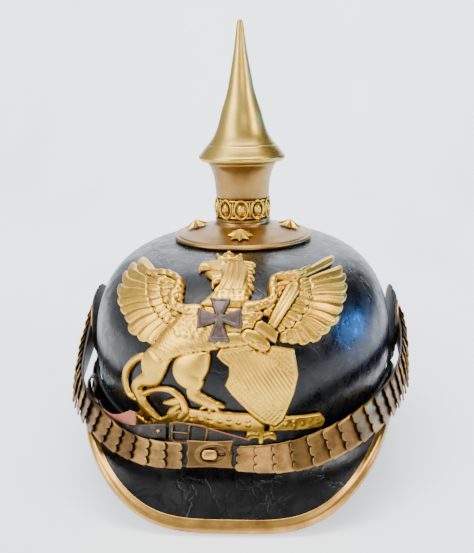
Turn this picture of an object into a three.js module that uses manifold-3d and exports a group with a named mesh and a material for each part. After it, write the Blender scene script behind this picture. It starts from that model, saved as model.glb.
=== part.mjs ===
// Leather spiked helmet of an officer: black skull with front and rear visor, brass trim, turned spike,
// pressed griffin plate with a cross, cockades, rosettes and a chin strap covered with brass scales.
// Millimetres, +Z up. The origin lies on the floor under the spike's axis; the front looks along -Y.

import * as THREE from 'three';
import { mergeVertices } from 'three/addons/utils/BufferGeometryUtils.js';
import Module from 'manifold-3d';

const wasm = await Module();
wasm.setup();

// ---------------------------------------------------------------- driving dimensions
const GAP = 0.3;                 // clearance between pieces that touch

const SKULL_HALF_WIDTH = 90.8;
const SKULL_HALF_LENGTH = 114;
const SKULL_CENTRE_Y = -8;       // the skull sits a little forward of the spike's axis
const SKULL_WIDEST_Z = 61;
const SKULL_TOP_Z = 116.8;
const SKULL_RISE_POWER = 2.05;   // how late the wall starts to lean in
const SKULL_SHOULDER_POWER = 4.4; // how square the shoulder is
const SKULL_TUCK = 0.02;         // share of the width lost between the widest line and the rim
const SKULL_TUCK_DEPTH = 25;
const SKULL_WALL = 2.8;

const RIM_SIDE_Z = 40;           // height of the skull's rim over the ears
const RIM_DIP = 13;              // how much lower the rim runs at front and back
const LAP = 5;                   // width of the visor's stitched lap on the skull
const VISOR_WALL = 2.2;
// reach: from the spike's axis to the edge; floor and rise: the edge's height in the middle and its climb
const FRONT_VISOR = {
  reach: 144, halfWidth: 86, roundness: 3.5, floor: 2.6, rise: 38.7, riseLate: 5.8, bulge: 3,
};
const REAR_VISOR = {
  reach: 145.4, halfWidth: 88, roundness: 3, floor: 0.6, rise: 40.7, riseLate: 4.2, bulge: 4,
};
const VISOR_LEAST = 0.6;         // how far it stands out at its ends
const SEAM_RISE = 1.6;           // how far over the rim the visor turns outward
const VISOR_HALF_ANGLE = 87;     // degrees from the middle to each end
const TRIM_HALF_ANGLE = 60;
const TRIM_WIDTH = 6.5;
const REST_BAND = 0.75;          // what would stand lower than this is flat on the floor

const SPINE_HALF_WIDTH = 4.5;
const SPINE_THICK = 1.1;
const SPINE_LIFT = 0.6;          // its back lies in straight steps over the round leather

const BASE_RADIUS = 43;
const BASE_Z = SKULL_TOP_Z + GAP;
const COLLAR_TOP_Z = 129.8;
const COLLAR_RADIUS = 16.4;
const STUD_CIRCLE = 29;
const STUD_RADIUS = 8.2;
const STUD_HEIGHT = 4.4;

const RING_HEIGHT = 11.6;
const RING_INNER = 13.3;
const RING_OUTER = 16.6;
const PEARL_COUNT = 10;

const NECK_BOTTOM_Z = COLLAR_TOP_Z + GAP;
const NECK_TOP_Z = 164;
const SOCKET_RADIUS = 8.0;
const SOCKET_DEPTH = 13.8;
const SPIKE_STEM_RADIUS = SOCKET_RADIUS - GAP;
const SPIKE_TOP_Z = 246.3;

const PLATE_FOOT_Z = 36;         // the plate's zero height, measured up the front of the skull
const PLATE_LIFT = 1;            // distance of the plate's back from the leather
const CHEST_HEIGHT = 3.4;        // how far the griffin's trunk and neck stand up
const CROSS_HALF = 10.4;

const COCKADE_RADIUS = 24.6;
const COCKADE_THICK = 1.8;
const COCKADE_Z = 60;
const COCKADE_X = 93.2;
const COCKADE_TEETH = 24;
const ROSETTE_RADIUS = 19;
const ROSETTE_X = COCKADE_X + COCKADE_THICK + GAP;

const LEATHER_THICK = 1.6;
const SCALE_PAIRS = { left: 11, right: 10 }; // two scales to a solid
const SCALE_THICK = 0.8;
const SCALE_OVERLAP = 2.2;       // how far a scale's free edge covers the next scale
const CLASP_X = -10;             // the clasp sits to the wearer's right of the middle
const CLASP_HALF = 11.5;

// ---------------------------------------------------------------- materials
const finish = (color, roughness, metalness) => new THREE.MeshStandardMaterial(
  { color, roughness, metalness },
);
const blackLeather = () => finish('#15161b', 0.35, 0);
const strapLeatherFinish = () => finish('#1d1817', 0.5, 0);
const agedBrass = () => finish('#b08d4e', 0.38, 1);
const bronze = () => finish('#b58a5c', 0.35, 1);
const spikeBrass = () => finish('#b3a05c', 0.3, 1);
const gilt = () => finish('#d9b657', 0.3, 1);
const greySilver = () => finish('#85797c', 0.45, 1);
const scaleBronze = () => finish('#94764c', 0.42, 1);
const blackCloth = () => finish('#111113', 0.8, 0);

// ---------------------------------------------------------------- building closed solids
const helmet = new THREE.Group();

function addPart(name, geometry, material) {
  geometry.computeVertexNormals();
  const mesh = new THREE.Mesh(geometry, material);
  mesh.name = name;
  helmet.add(mesh);
  return mesh;
}

function enclosedVolume(points, faces) {
  let sum = 0;
  for (const [a, b, c] of faces) {
    sum += points[a].dot(points[b].clone().cross(points[c]));
  }
  return sum / 6;
}

// Faces that look inward are turned round.
function closedSkin(points, faces) {
  if (enclosedVolume(points, faces) < 0) {
    for (const face of faces) face.reverse();
  }
  const geometry = new THREE.BufferGeometry();
  const numbers = points.flatMap((point) => point.toArray());
  geometry.setAttribute('position', new THREE.Float32BufferAttribute(numbers, 3));
  geometry.setIndex(faces.flat());
  return geometry;
}

// Joins rings of equal length one after another; a ring of a single point is a pole. A list that starts
// and ends with a pole is a closed skin, and `looped` joins the last ring to the first.
function skinRings(rings, looped = false) {
  const points = rings.flat();
  const starts = [];
  let next = 0;
  for (const ring of rings) {
    starts.push(next);
    next += ring.length;
  }
  const faces = [];
  const steps = looped ? rings.length : rings.length - 1;
  for (let i = 0; i < steps; i += 1) {
    const k = (i + 1) % rings.length;
    const count = Math.max(rings[i].length, rings[k].length);
    for (let j = 0; j < count; j += 1) {
      const j2 = (j + 1) % count;
      const a = starts[i] + (rings[i].length > 1 ? j : 0);
      const b = starts[i] + (rings[i].length > 1 ? j2 : 0);
      const c = starts[k] + (rings[k].length > 1 ? j : 0);
      const d = starts[k] + (rings[k].length > 1 ? j2 : 0);
      if (a !== b) faces.push([a, b, c]);
      if (c !== d) faces.push([b, d, c]);
    }
  }
  return closedSkin(points, faces);
}

function middleOf(ring) {
  const sum = ring.reduce((total, p) => total.add(p), new THREE.Vector3());
  return sum.multiplyScalar(1 / ring.length);
}

// A bar or strip: cross-sections one after another, closed with a fan at both ends.
function skinStrip(sections) {
  return skinRings([[middleOf(sections[0])], ...sections, [middleOf(sections.at(-1))]]);
}

// The same for a section that isn't convex: `cap` holds the triangles that fill it.
function skinCapped(sections, cap) {
  const count = sections[0].length;
  const faces = [];
  for (let start = 0; start < (sections.length - 1) * count; start += count) {
    for (let j = 0; j < count; j += 1) {
      const a = start + j;
      const b = start + (j + 1) % count;
      faces.push([a, b, a + count], [b, b + count, a + count]);
    }
  }
  const last = (sections.length - 1) * count;
  for (const [a, b, c] of cap) faces.push([a, c, b], [a + last, b + last, c + last]);
  return closedSkin(sections.flat(), faces);
}

function toSolid(geometry) {
  const bare = geometry.clone();
  bare.deleteAttribute('normal');
  bare.deleteAttribute('uv');
  const merged = mergeVertices(bare, 1e-4);
  return new wasm.Manifold(new wasm.Mesh({
    numProp: 3,
    vertProperties: new Float32Array(merged.attributes.position.array),
    triVerts: new Uint32Array(merged.index.array),
  }));
}

function toGeometry(solid) {
  const mesh = solid.getMesh();
  const geometry = new THREE.BufferGeometry();
  geometry.setAttribute('position', new THREE.BufferAttribute(mesh.vertProperties, 3));
  geometry.setIndex(new THREE.BufferAttribute(mesh.triVerts, 1));
  return geometry;
}

function joined(geometries) {
  const solids = geometries.map(toSolid);
  return toGeometry(solids.slice(1).reduce((whole, solid) => whole.add(solid), solids[0]));
}

// Turned pieces: [radius, height] pairs from the axis back to the axis, turned about +Z.
function turned(profile, segments = 40) {
  const points = profile.map(([radius, height]) => new THREE.Vector2(radius, height));
  const lathe = new THREE.LatheGeometry(points, segments).rotateX(Math.PI / 2);
  lathe.deleteAttribute('normal');
  lathe.deleteAttribute('uv');
  return mergeVertices(lathe, 1e-4);
}

const smoothLine = (points) => new THREE.CatmullRomCurve3(points, false, 'centripetal');
const spread = (count, low, high) => Array.from(
  { length: count },
  (_, i) => low + (high - low) * i / (count - 1),
);
const radians = THREE.MathUtils.degToRad;

// ---------------------------------------------------------------- the skull's surface
// Share of the full width and length that the skull has at a height.
function skullShare(z) {
  if (z < SKULL_WIDEST_Z) return 1 - SKULL_TUCK * ((SKULL_WIDEST_Z - z) / SKULL_TUCK_DEPTH) ** 2;
  const rise = Math.min((z - SKULL_WIDEST_Z) / (SKULL_TOP_Z - SKULL_WIDEST_Z), 1);
  return (1 - rise ** SKULL_RISE_POWER) ** (1 / SKULL_SHOULDER_POWER);
}

function skullPoint(angle, z, offset = 0) {
  const share = skullShare(z);
  const x = Math.cos(angle);
  const y = Math.sin(angle);
  const width = SKULL_HALF_WIDTH * share;
  const length = SKULL_HALF_LENGTH * share;
  const step = 0.05;
  const slope = (skullShare(Math.min(z + step, SKULL_TOP_Z)) - skullShare(z - step)) / (2 * step);
  const normal = new THREE.Vector3(x / SKULL_HALF_WIDTH, y / SKULL_HALF_LENGTH, -slope).normalize();
  return new THREE.Vector3(width * x, SKULL_CENTRE_Y + length * y, z).addScaledVector(normal, offset);
}

// The rim dips at front and back; 0 turns is the wearer's left, a quarter turn is the back.
const rimHeight = (angle) => RIM_SIDE_Z - RIM_DIP * Math.sin(angle) ** 2;

function skullLevels(angle, wall) {
  const rim = rimHeight(angle);
  const heights = [...spread(4, rim, SKULL_WIDEST_Z)];
  for (const turn of [22, 40, 54, 65, 74, 81, 86]) {
    heights.push(SKULL_WIDEST_Z + (SKULL_TOP_Z - SKULL_WIDEST_Z) * Math.sin(radians(turn)));
  }
  return heights.map((z) => skullPoint(angle, z, -wall));
}

function skullShell() {
  const around = spread(49, 0, 2 * Math.PI).slice(0, -1);
  const outer = around.map((angle) => skullLevels(angle, 0));
  const inner = around.map((angle) => skullLevels(angle, SKULL_WALL));
  const levels = outer[0].length;
  const rings = [[new THREE.Vector3(0, SKULL_CENTRE_Y, SKULL_TOP_Z)]];
  for (let k = levels - 1; k >= 0; k -= 1) rings.push(outer.map((column) => column[k]));
  for (let k = 0; k < levels; k += 1) rings.push(inner.map((column) => column[k]));
  rings.push([new THREE.Vector3(0, SKULL_CENTRE_Y, SKULL_TOP_Z - SKULL_WALL)]);
  return skinRings(rings);
}

// ---------------------------------------------------------------- visors
// A point of the visor's outer edge; `turn` runs from -90 to 90 degrees, 0 is the middle. The leather
// leaves the skull square to its wall and ends at a squared oval.
function visorEdge(shape, side, turn) {
  const angle = side * (Math.PI / 2) + turn;
  const wall = skullPoint(angle, RIM_SIDE_Z, VISOR_WALL + GAP);
  const widest = skullPoint(angle, SKULL_WIDEST_Z);
  const away = skullPoint(angle, SKULL_WIDEST_Z, 1).sub(widest).setZ(0).normalize();
  const at = (distance) => wall.clone().addScaledVector(away, distance);
  const share = (length, full) => (Math.abs(length) / full) ** shape.roundness;
  const inside = ({ x, y }) => share(x, shape.halfWidth) + share(y, shape.reach) < 1;
  let near = VISOR_LEAST;
  let far = shape.reach;
  for (let i = 0; i < 40; i += 1) {
    const middle = (near + far) / 2;
    if (inside(at(middle))) near = middle;
    else far = middle;
  }
  const edge = at(near);
  const ahead = Math.max(side * edge.y, 0) / shape.reach;
  return edge.setZ(shape.floor + shape.rise * (1 - ahead ** shape.riseLate));
}

// The visor's outer face: `down` runs from 0 at the lap's top, over the seam, to 1 at the edge.
const SEAM = 0.2;

function visorPoint(shape, side, turn, down) {
  const angle = side * (Math.PI / 2) + turn;
  const seamZ = rimHeight(angle) + SEAM_RISE;
  const offset = GAP + VISOR_WALL;
  const seam = skullPoint(angle, seamZ, offset);
  if (down <= SEAM) return skullPoint(angle, seamZ + LAP * (1 - down / SEAM), offset);
  const edge = visorEdge(shape, side, turn);
  const t = (down - SEAM) / (1 - SEAM);
  const away = new THREE.Vector3(Math.cos(angle), Math.sin(angle), 0.6).normalize();
  const middle = seam.clone().lerp(edge, 0.42).addScaledVector(away, shape.bulge * Math.cos(turn));
  return seam.multiplyScalar((1 - t) ** 2)
    .addScaledVector(middle, 2 * t * (1 - t))
    .addScaledVector(edge, t * t);
}

function visorNormal(shape, side, turn, down) {
  const step = 0.01;
  const low = Math.max(down - step, 0);
  const high = Math.min(down + step, 1);
  const along = visorPoint(shape, side, turn + step, down)
    .sub(visorPoint(shape, side, turn - step, down));
  const across = visorPoint(shape, side, turn, high).sub(visorPoint(shape, side, turn, low));
  const normal = along.cross(across).normalize();
  const centre = new THREE.Vector3(0, 0, -40);
  return normal.dot(visorPoint(shape, side, turn, down).sub(centre)) < 0 ? normal.negate() : normal;
}

const onFloor = (point) => {
  if (point.z < REST_BAND) point.z = 0;
  return point;
};

// Fills a section made of one row of points and the same number back again.
function bandCap(count) {
  const cap = [];
  for (let k = 0; k < count / 2 - 1; k += 1) {
    const far = count - 1 - k;
    cap.push([k, k + 1, far - 1], [k, far - 1, far]);
  }
  return cap;
}

function visor(shape, side) {
  const half = radians(VISOR_HALF_ANGLE);
  const sections = spread(33, -half, half).map((turn) => {
    const steps = [0, 0.1, SEAM, 0.38, 0.56, 0.74, 0.9, 1];
    const outer = steps.map((down) => visorPoint(shape, side, turn, down));
    const inner = steps.map((down) => visorPoint(shape, side, turn, down)
      .addScaledVector(visorNormal(shape, side, turn, down), -VISOR_WALL));
    return [...outer, ...inner.reverse()].map(onFloor);
  });
  return skinCapped(sections, bandCap(sections[0].length));
}

// Folded brass edge: points of its cross-section, out from the leather's edge and up from its face.
const TRIM_SLOT = 0.45;          // room round the leather, which lies in straight facets
const TRIM_UNDER = -VISOR_WALL - TRIM_SLOT;
const TRIM_SECTION = [
  { out: -TRIM_WIDTH, up: TRIM_SLOT },
  { out: -TRIM_WIDTH, up: 1 },
  { out: -2.4, up: 1.7 },
  { out: 0.2, up: 1.4 },
  { out: 1.4, up: 0.1 },
  { out: 1.4, up: TRIM_UNDER + 0.2 },
  { out: 0.3, up: TRIM_UNDER - 0.8 },
  { out: -4, up: TRIM_UNDER - 0.8 },
  { out: -4, up: TRIM_UNDER },
  { out: TRIM_SLOT, up: TRIM_UNDER },
  { out: TRIM_SLOT, up: TRIM_SLOT },
];
const TRIM_CAP = [
  [0, 1, 2], [0, 2, 10], [2, 3, 10], [3, 4, 10], [4, 5, 10], [5, 9, 10], [5, 6, 9], [6, 7, 9], [7, 8, 9],
];

function visorTrim() {
  const half = radians(TRIM_HALF_ANGLE);
  const sections = spread(41, -half, half).map((turn) => {
    const edge = visorPoint(FRONT_VISOR, -1, turn, 1);
    const seam = visorPoint(FRONT_VISOR, -1, turn, SEAM);
    const along = visorEdge(FRONT_VISOR, -1, turn + 0.01).sub(visorEdge(FRONT_VISOR, -1, turn - 0.01));
    const up = visorNormal(FRONT_VISOR, -1, turn, 1);
    const out = along.cross(up).normalize();
    if (out.dot(edge.clone().sub(seam)) < 0) out.negate();
    const room = Math.min(1, (edge.distanceTo(seam) - 1) / TRIM_WIDTH);
    const corner = (p) => edge.clone()
      .addScaledVector(out, p.out < 0 ? p.out * room : p.out)
      .addScaledVector(up, p.up);
    return TRIM_SECTION.map((p) => onFloor(corner(p)));
  });
  return skinCapped(sections, TRIM_CAP);
}

// Brass rib down the back, from the base plate over the seam to the rear visor's edge.
function rearSpine() {
  const back = Math.PI / 2;
  const route = [115.8, 115, 113, 110, 105, 98, 88, 74, 58, 42].map((z) => skullPoint(back, z, SPINE_LIFT));
  route.push(skullPoint(back, 36.5, SPINE_LIFT + 1.6));
  for (const down of [0.12, 0.4, 0.7, 0.94]) {
    const face = visorNormal(REAR_VISOR, 1, 0, down);
    route.push(visorPoint(REAR_VISOR, 1, 0, down).addScaledVector(face, SPINE_LIFT));
  }
  const side = new THREE.Vector3(1, 0, 0);
  const sections = route.map((point, i) => {
    const next = route[Math.min(i + 1, route.length - 1)];
    const along = next.clone().sub(route[Math.max(i - 1, 0)]).normalize();
    const up = along.clone().cross(side).normalize();
    if (up.y < 0) up.negate();
    const corner = (across, lift) => point.clone().addScaledVector(side, across).addScaledVector(up, lift);
    return [
      corner(-SPINE_HALF_WIDTH, 0),
      corner(-SPINE_HALF_WIDTH, SPINE_THICK * 0.6),
      corner(0, SPINE_THICK),
      corner(SPINE_HALF_WIDTH, SPINE_THICK * 0.6),
      corner(SPINE_HALF_WIDTH, 0),
    ];
  });
  return skinStrip(sections);
}

addPart('skull_shell', skullShell(), blackLeather());
addPart('front_visor', visor(FRONT_VISOR, -1), blackLeather());
addPart('rear_visor', visor(REAR_VISOR, 1), blackLeather());
addPart('visor_trim', visorTrim(), agedBrass());
addPart('rear_spine', rearSpine(), agedBrass());

// ---------------------------------------------------------------- spike base, ring, neck and spike
addPart('spike_base', turned([
  [0, 127.6], [14.6, 127.6], [15.4, 125.4], [20, 123.2], [30, 120.6], [41.4, BASE_Z],
  [BASE_RADIUS, BASE_Z], [BASE_RADIUS + 0.3, BASE_Z + 1.1], [42.4, BASE_Z + 2.1], [41, BASE_Z + 1.9],
  [39.4, BASE_Z + 2.6], [30, 122.6], [22, 124.6], [18, 125.9], [16.7, 127.4],
  [COLLAR_RADIUS, COLLAR_TOP_Z], [0, COLLAR_TOP_Z],
], 36), bronze());

// Eight-pointed star with a ridge to each point, lying on the plate's slope.
function starStud() {
  const ring = (scale, z) => spread(17, 0, 2 * Math.PI).slice(0, -1).map((angle, i) => {
    const radius = STUD_RADIUS * scale * (i % 2 ? 0.6 : 1);
    return new THREE.Vector3(radius * Math.cos(angle), radius * Math.sin(angle), z);
  });
  return skinRings([
    [new THREE.Vector3(0, 0, STUD_HEIGHT)],
    ring(0.45, STUD_HEIGHT * 0.62),
    ring(1, 0.7),
    ring(0.96, 0),
    [new THREE.Vector3()],
  ]);
}

const STUDS = [
  { name: 'star_stud_front', turn: -90 },
  { name: 'star_stud_right', turn: 180 },
  { name: 'star_stud_rear', turn: 90 },
  { name: 'star_stud_left', turn: 0 },
];

for (const { name, turn } of STUDS) {
  const holder = new THREE.Group();
  holder.rotation.z = radians(turn);
  const stud = addPart(name, starStud(), gilt());
  stud.position.set(STUD_CIRCLE, 0, 123.25);
  stud.rotation.y = Math.atan(0.25);
  holder.add(stud);
  helmet.add(holder);
}

function pearlRing() {
  const top = NECK_BOTTOM_Z + RING_HEIGHT;
  const middle = (top + NECK_BOTTOM_Z) / 2;
  const band = turned([
    [RING_INNER, NECK_BOTTOM_Z], [RING_OUTER, NECK_BOTTOM_Z], [RING_OUTER + 0.7, NECK_BOTTOM_Z + 1],
    [RING_OUTER - 0.3, NECK_BOTTOM_Z + 2.2], [RING_OUTER - 0.3, top - 2.2], [RING_OUTER + 0.7, top - 1],
    [RING_OUTER, top], [RING_INNER, top], [RING_INNER, NECK_BOTTOM_Z],
  ], 30);
  const pearls = spread(PEARL_COUNT + 1, 0, 2 * Math.PI).slice(0, -1).map((angle) => {
    const pearl = new THREE.SphereGeometry(1, 6, 4);
    pearl.rotateX(Math.PI / 2);
    pearl.scale(2, 3.1, 4.1);
    pearl.translate(RING_OUTER - 0.4, 0, middle);
    return pearl.rotateZ(angle + Math.PI / PEARL_COUNT / 2);
  });
  return joined([band, ...pearls]);
}

addPart('pearl_ring', pearlRing(), gilt());

addPart('spike_neck', turned([
  [0, NECK_BOTTOM_Z], [13, NECK_BOTTOM_Z], [13, NECK_BOTTOM_Z + RING_HEIGHT + GAP],
  [16.2, NECK_BOTTOM_Z + RING_HEIGHT + GAP], [16.7, 148.4], [17.6, 154.2], [18.2, 157], [19.1, 159.9],
  [20.9, 162.9], [21, 163.6], [20.5, NECK_TOP_Z], [SOCKET_RADIUS, NECK_TOP_Z],
  [SOCKET_RADIUS, NECK_TOP_Z - SOCKET_DEPTH], [0, NECK_TOP_Z - SOCKET_DEPTH],
], 32), bronze());

addPart('spike', turned([
  [0, NECK_TOP_Z - SOCKET_DEPTH + GAP], [SPIKE_STEM_RADIUS, NECK_TOP_Z - SOCKET_DEPTH + GAP],
  [SPIKE_STEM_RADIUS, NECK_TOP_Z + GAP], [24.8, NECK_TOP_Z + GAP], [26.1, 165.2], [26.6, 166.8], [26, 168.4],
  [23.9, 171.3], [21, 174.2], [18.6, 176.9], [16, 181.2], [14.2, 186.2], [12.2, 193.2], [8.5, 204.7],
  [6.1, 216.5], [4, 228.1], [2.5, 239.6], [1.4, SPIKE_TOP_Z - 1], [0, SPIKE_TOP_Z],
], 32), spikeBrass());

// ---------------------------------------------------------------- griffin plate
// Plate coordinates: x across the front, v up the skull's front measured along the leather.
const LINE_START_Z = PLATE_FOOT_Z - 6;
const FRONT_LINE = spread(900, 0, 90).map((turn) => {
  const z = LINE_START_Z + (SKULL_TOP_Z - LINE_START_Z) * Math.sin(radians(turn));
  return { z, share: skullShare(z), v: 0 };
});
for (let i = 1; i < FRONT_LINE.length; i += 1) {
  const below = FRONT_LINE[i - 1];
  const row = FRONT_LINE[i];
  row.v = below.v + Math.hypot(row.z - below.z, (row.share - below.share) * SKULL_HALF_LENGTH);
}
const footLength = FRONT_LINE.find((row) => row.z >= PLATE_FOOT_Z).v;
for (const row of FRONT_LINE) row.v -= footLength;

function plateBase(x, v) {
  let i = FRONT_LINE.findIndex((row) => row.v > v);
  if (i < 1) i = FRONT_LINE.length - 1;
  const a = FRONT_LINE[i - 1];
  const b = FRONT_LINE[i];
  const t = (v - a.v) / (b.v - a.v);
  const share = a.share + (b.share - a.share) * t;
  const depth = Math.sqrt(Math.max(share ** 2 - (x / SKULL_HALF_WIDTH) ** 2, 0.02));
  return new THREE.Vector3(x, SKULL_CENTRE_Y - SKULL_HALF_LENGTH * depth, a.z + (b.z - a.z) * t);
}

function platePoint(x, v, lift) {
  const step = 0.6;
  const across = plateBase(x + step, v).sub(plateBase(x - step, v));
  const upward = plateBase(x, v + step).sub(plateBase(x, v - step));
  return plateBase(x, v).addScaledVector(across.cross(upward).normalize(), PLATE_LIFT + lift);
}

// A raised limb, feather or band: rows give its middle line and half-width.
function platePiece(rows, height, steps, narrow = false) {
  const line = smoothLine(rows.map(([x, v, half]) => new THREE.Vector3(x, v, half)));
  const sections = spread(steps, 0, 1).map((t) => {
    const at = line.getPoint(t);
    const along = line.getTangent(t).setZ(0).normalize();
    const spot = (side, lift) => {
      const reach = at.z * side;
      return platePoint(at.x - along.y * reach, at.y + along.x * reach, lift);
    };
    const top = [spot(-1, 0), spot(-0.6, height), spot(0.6, height), spot(1, 0)];
    return narrow ? top : [...top, spot(0, 0)];
  });
  return skinStrip(sections);
}

// A flat-topped piece from its outline.
function plateSlab(outline, height) {
  const cx = outline.reduce((sum, [x]) => sum + x, 0) / outline.length;
  const cv = outline.reduce((sum, [, v]) => sum + v, 0) / outline.length;
  const ring = (scale, lift) => outline.map(([x, v]) => (
    platePoint(cx + (x - cx) * scale, cv + (v - cv) * scale, lift)
  ));
  return skinRings([
    [platePoint(cx, cv, height)],
    ring(0.55, height),
    ring(0.96, height),
    ring(1, height * 0.5),
    ring(1, 0),
    ring(0.5, 0),
    [platePoint(cx, cv, 0)],
  ]);
}

// Feathers fan from roots to tips: [root x, root v, tip x, tip v], in millimetres on the plate.
const LEFT_FEATHERS = [
  [-40, 82, -57, 92.5],
  [-38, 80, -62.5, 85.5],
  [-37, 77, -66, 77.5],
  [-35, 74, -66.5, 69],
  [-33, 71, -64, 61.5],
  [-31, 68, -59, 55.5],
  [-29, 66, -53, 50.5],
  [-26, 65, -46, 48],
  [-23, 64, -39, 49.5],
  [-20, 63, -31, 52],
];
const RIGHT_FEATHERS = [
  [32, 84, 48.5, 96],
  [31, 81, 54, 89],
  [30, 78, 56.8, 80],
  [28, 75, 57, 70.5],
  [27, 72, 53.5, 62.5],
  [25, 69, 48.5, 55],
  [23, 67, 41, 51],
  [21, 65, 33.5, 51],
  [19, 64, 27, 53],
];
const FEATHER_HALF_WIDTH = 3.6;
const FEATHER_HEIGHT = 1.5;

// Plain sheet under each wing, which holds its feathers together.
const WING_SHEETS = [
  [[-20, 62], [-31, 54], [-45, 50], [-56, 56], [-62, 66], [-62, 78], [-56, 86], [-42, 84], [-30, 80]],
  [[16, 62], [27, 55], [40, 53], [49, 60], [53.5, 71], [53, 82], [46, 90], [34, 86], [24, 78]],
];
const SHEET_HEIGHT = 0.8;

function feather([rootX, rootV, tipX, tipV], i) {
  const midX = rootX + (tipX - rootX) * 0.55;
  const midV = rootV + (tipV - rootV) * 0.55 - 1.2;
  const endX = rootX + (tipX - rootX) * 0.92;
  const endV = rootV + (tipV - rootV) * 0.92;
  const half = FEATHER_HALF_WIDTH;
  const rows = [
    [rootX, rootV, half],
    [midX, midV, half],
    [endX, endV, half * 0.9],
    [tipX, tipV, half * 0.35],
  ];
  return platePiece(rows, FEATHER_HEIGHT + 0.25 * (i % 2), 4, true);
}

// Limbs: rows of [x, v, half-width].
const LIMBS = [
  {
    part: 'left wing arm',
    height: 2.6,
    rows: [[-16, 67, 6], [-25, 70, 6], [-31, 76, 6], [-30, 85, 5], [-41, 84, 4.5]],
  },
  { part: 'left wing curl', height: 3, rows: [[-27, 88, 2], [-25.5, 83, 2.2], [-27.5, 77, 2]] },
  {
    part: 'right wing arm',
    height: 2.6,
    rows: [[10, 66, 7], [18, 69, 6], [24, 75, 6], [25, 86, 5], [37, 88, 4.5]],
  },
  { part: 'right wing curl', height: 3, rows: [[19, 91, 2], [18.5, 86, 2.4], [19, 80, 2]] },
  {
    part: 'trunk',
    height: CHEST_HEIGHT,
    rows: [[9, 60, 9], [-3, 62, 13], [-15, 59, 11.5], [-27, 52, 9], [-36, 45, 7.5]],
  },
  {
    part: 'neck',
    height: CHEST_HEIGHT,
    rows: [[-4, 64, 14], [-3, 78, 11], [0, 91, 9], [-2, 101, 8.5], [-3.5, 111.5, 5]],
  },
  {
    part: 'upper beak',
    height: 3,
    rows: [[-4, 102, 7], [-11, 103, 5], [-16.5, 103, 3.4], [-18.8, 99, 0.8]],
  },
  { part: 'lower beak', height: 2.4, rows: [[-3, 96, 5], [-7.5, 92, 3], [-10.5, 88.5, 1]] },
  { part: 'crown band', height: 2.4, rows: [[-11, 113.5, 1.8], [-4, 111.5, 2], [3.5, 114.5, 1.8]] },
  {
    part: 'crown arch',
    height: 2.2,
    rows: [[-11.5, 114, 1.2], [-10, 122, 1.3], [-4.5, 124, 1.5], [1.5, 123, 1.3], [3.5, 115, 1.2]],
  },
  { part: 'crown cross', height: 2.4, rows: [[-4.5, 112, 1.3], [-4.5, 128.5, 1.1]] },
  {
    part: 'far hind leg',
    height: 2.8,
    rows: [[-33, 46, 8.5], [-37, 38, 6.8], [-44, 32, 4.6], [-48.5, 26, 3.2], [-47.2, 19.5, 2.8],
      [-42.5, 15, 3.6], [-36.5, 14, 2.6]],
  },
  {
    part: 'near hind leg',
    height: 2.8,
    rows: [[-22, 47, 6], [-16, 43, 8], [-14, 37, 5.6], [-18.5, 31.5, 3.8], [-14, 27, 3.2],
      [-9, 24.5, 3], [-5.5, 22.5, 2]],
  },
  {
    part: 'tail',
    height: 2,
    rows: [[-40, 42, 2.4], [-49, 39.5, 2], [-55.5, 31, 1.7], [-55, 22, 1.7], [-50, 18.5, 1.7],
      [-44, 21.5, 1.7], [-35, 27.5, 1.7], [-27.5, 26, 1.7], [-24, 19, 1.7], [-26, 12, 2]],
  },
  { part: 'tail leaf', height: 2.6, rows: [[-34, 21.5, 1], [-30.5, 18, 3], [-26.5, 12.5, 1.6]] },
  { part: 'forearm', height: 3.2, rows: [[0, 57, 5], [8, 55, 5], [14, 53.5, 4.6], [16, 50, 3]] },
  { part: 'sword guard', height: 4.2, rows: [[12, 60.5, 2.3], [20.5, 54, 2.3]] },
  {
    part: 'sword blade',
    height: 3.8,
    rows: [[17, 57.5, 2.4], [24, 71, 2.7], [28.6, 79, 3], [31.4, 86, 0.5]],
  },
  {
    part: 'ribbon left end',
    height: 1,
    rows: [[-54, 9.4, 4], [-46, 8.6, 3.6], [-38, 8.4, 4], [-31, 10.5, 4.6]],
  },
  {
    part: 'ribbon middle',
    height: 1.2,
    rows: [[-32, 10.5, 4.6], [-24, 12.4, 4.8], [-6, 13.8, 4.9], [11, 14, 5]],
  },
  {
    part: 'ribbon right end',
    height: 1.6,
    rows: [[9, 9.4, 4.6], [18, 8.8, 4.8], [31, 9.4, 4.8], [44.5, 8.2, 4.4]],
  },
  { part: 'post', height: 2.4, rows: [[12.5, 15, 1.9], [12.5, 4, 1.9]] },
  { part: 'post foot', height: 2, rows: [[7.5, 2.6, 1.5], [12, 3, 1.7], [16.5, 3.2, 1.5]] },
];

const SHIELD_OUTLINE = [
  [-6.8, 50.5], [1, 50.8], [10, 52], [20, 51.5], [30, 48], [32.2, 42], [32, 35], [30.2, 26],
  [27.2, 17.5], [21, 9.5], [12, 15.5], [4.6, 23], [0, 29], [-2.6, 34], [-0.4, 38.5], [-3.4, 42.5],
  [-7.4, 46.5],
];

const SHIELD_HEIGHT = 3;

function griffinPlate() {
  const pieces = LIMBS.map(({ rows, height }) => platePiece(rows, height, rows.length + 3, rows[0][2] < 5));
  pieces.push(...LEFT_FEATHERS.map(feather), ...RIGHT_FEATHERS.map(feather));
  pieces.push(...WING_SHEETS.map((outline) => plateSlab(outline, SHEET_HEIGHT)));
  pieces.push(plateSlab(SHIELD_OUTLINE, SHIELD_HEIGHT));
  return joined(pieces);
}

addPart('griffin_plate', griffinPlate(), gilt());

// Cross with arms that widen outwards, on the griffin's chest.
const CROSS_LIFT = CHEST_HEIGHT + GAP + 0.4;
const CROSS_CENTRE = { x: -5.4, v: 64 };

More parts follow.
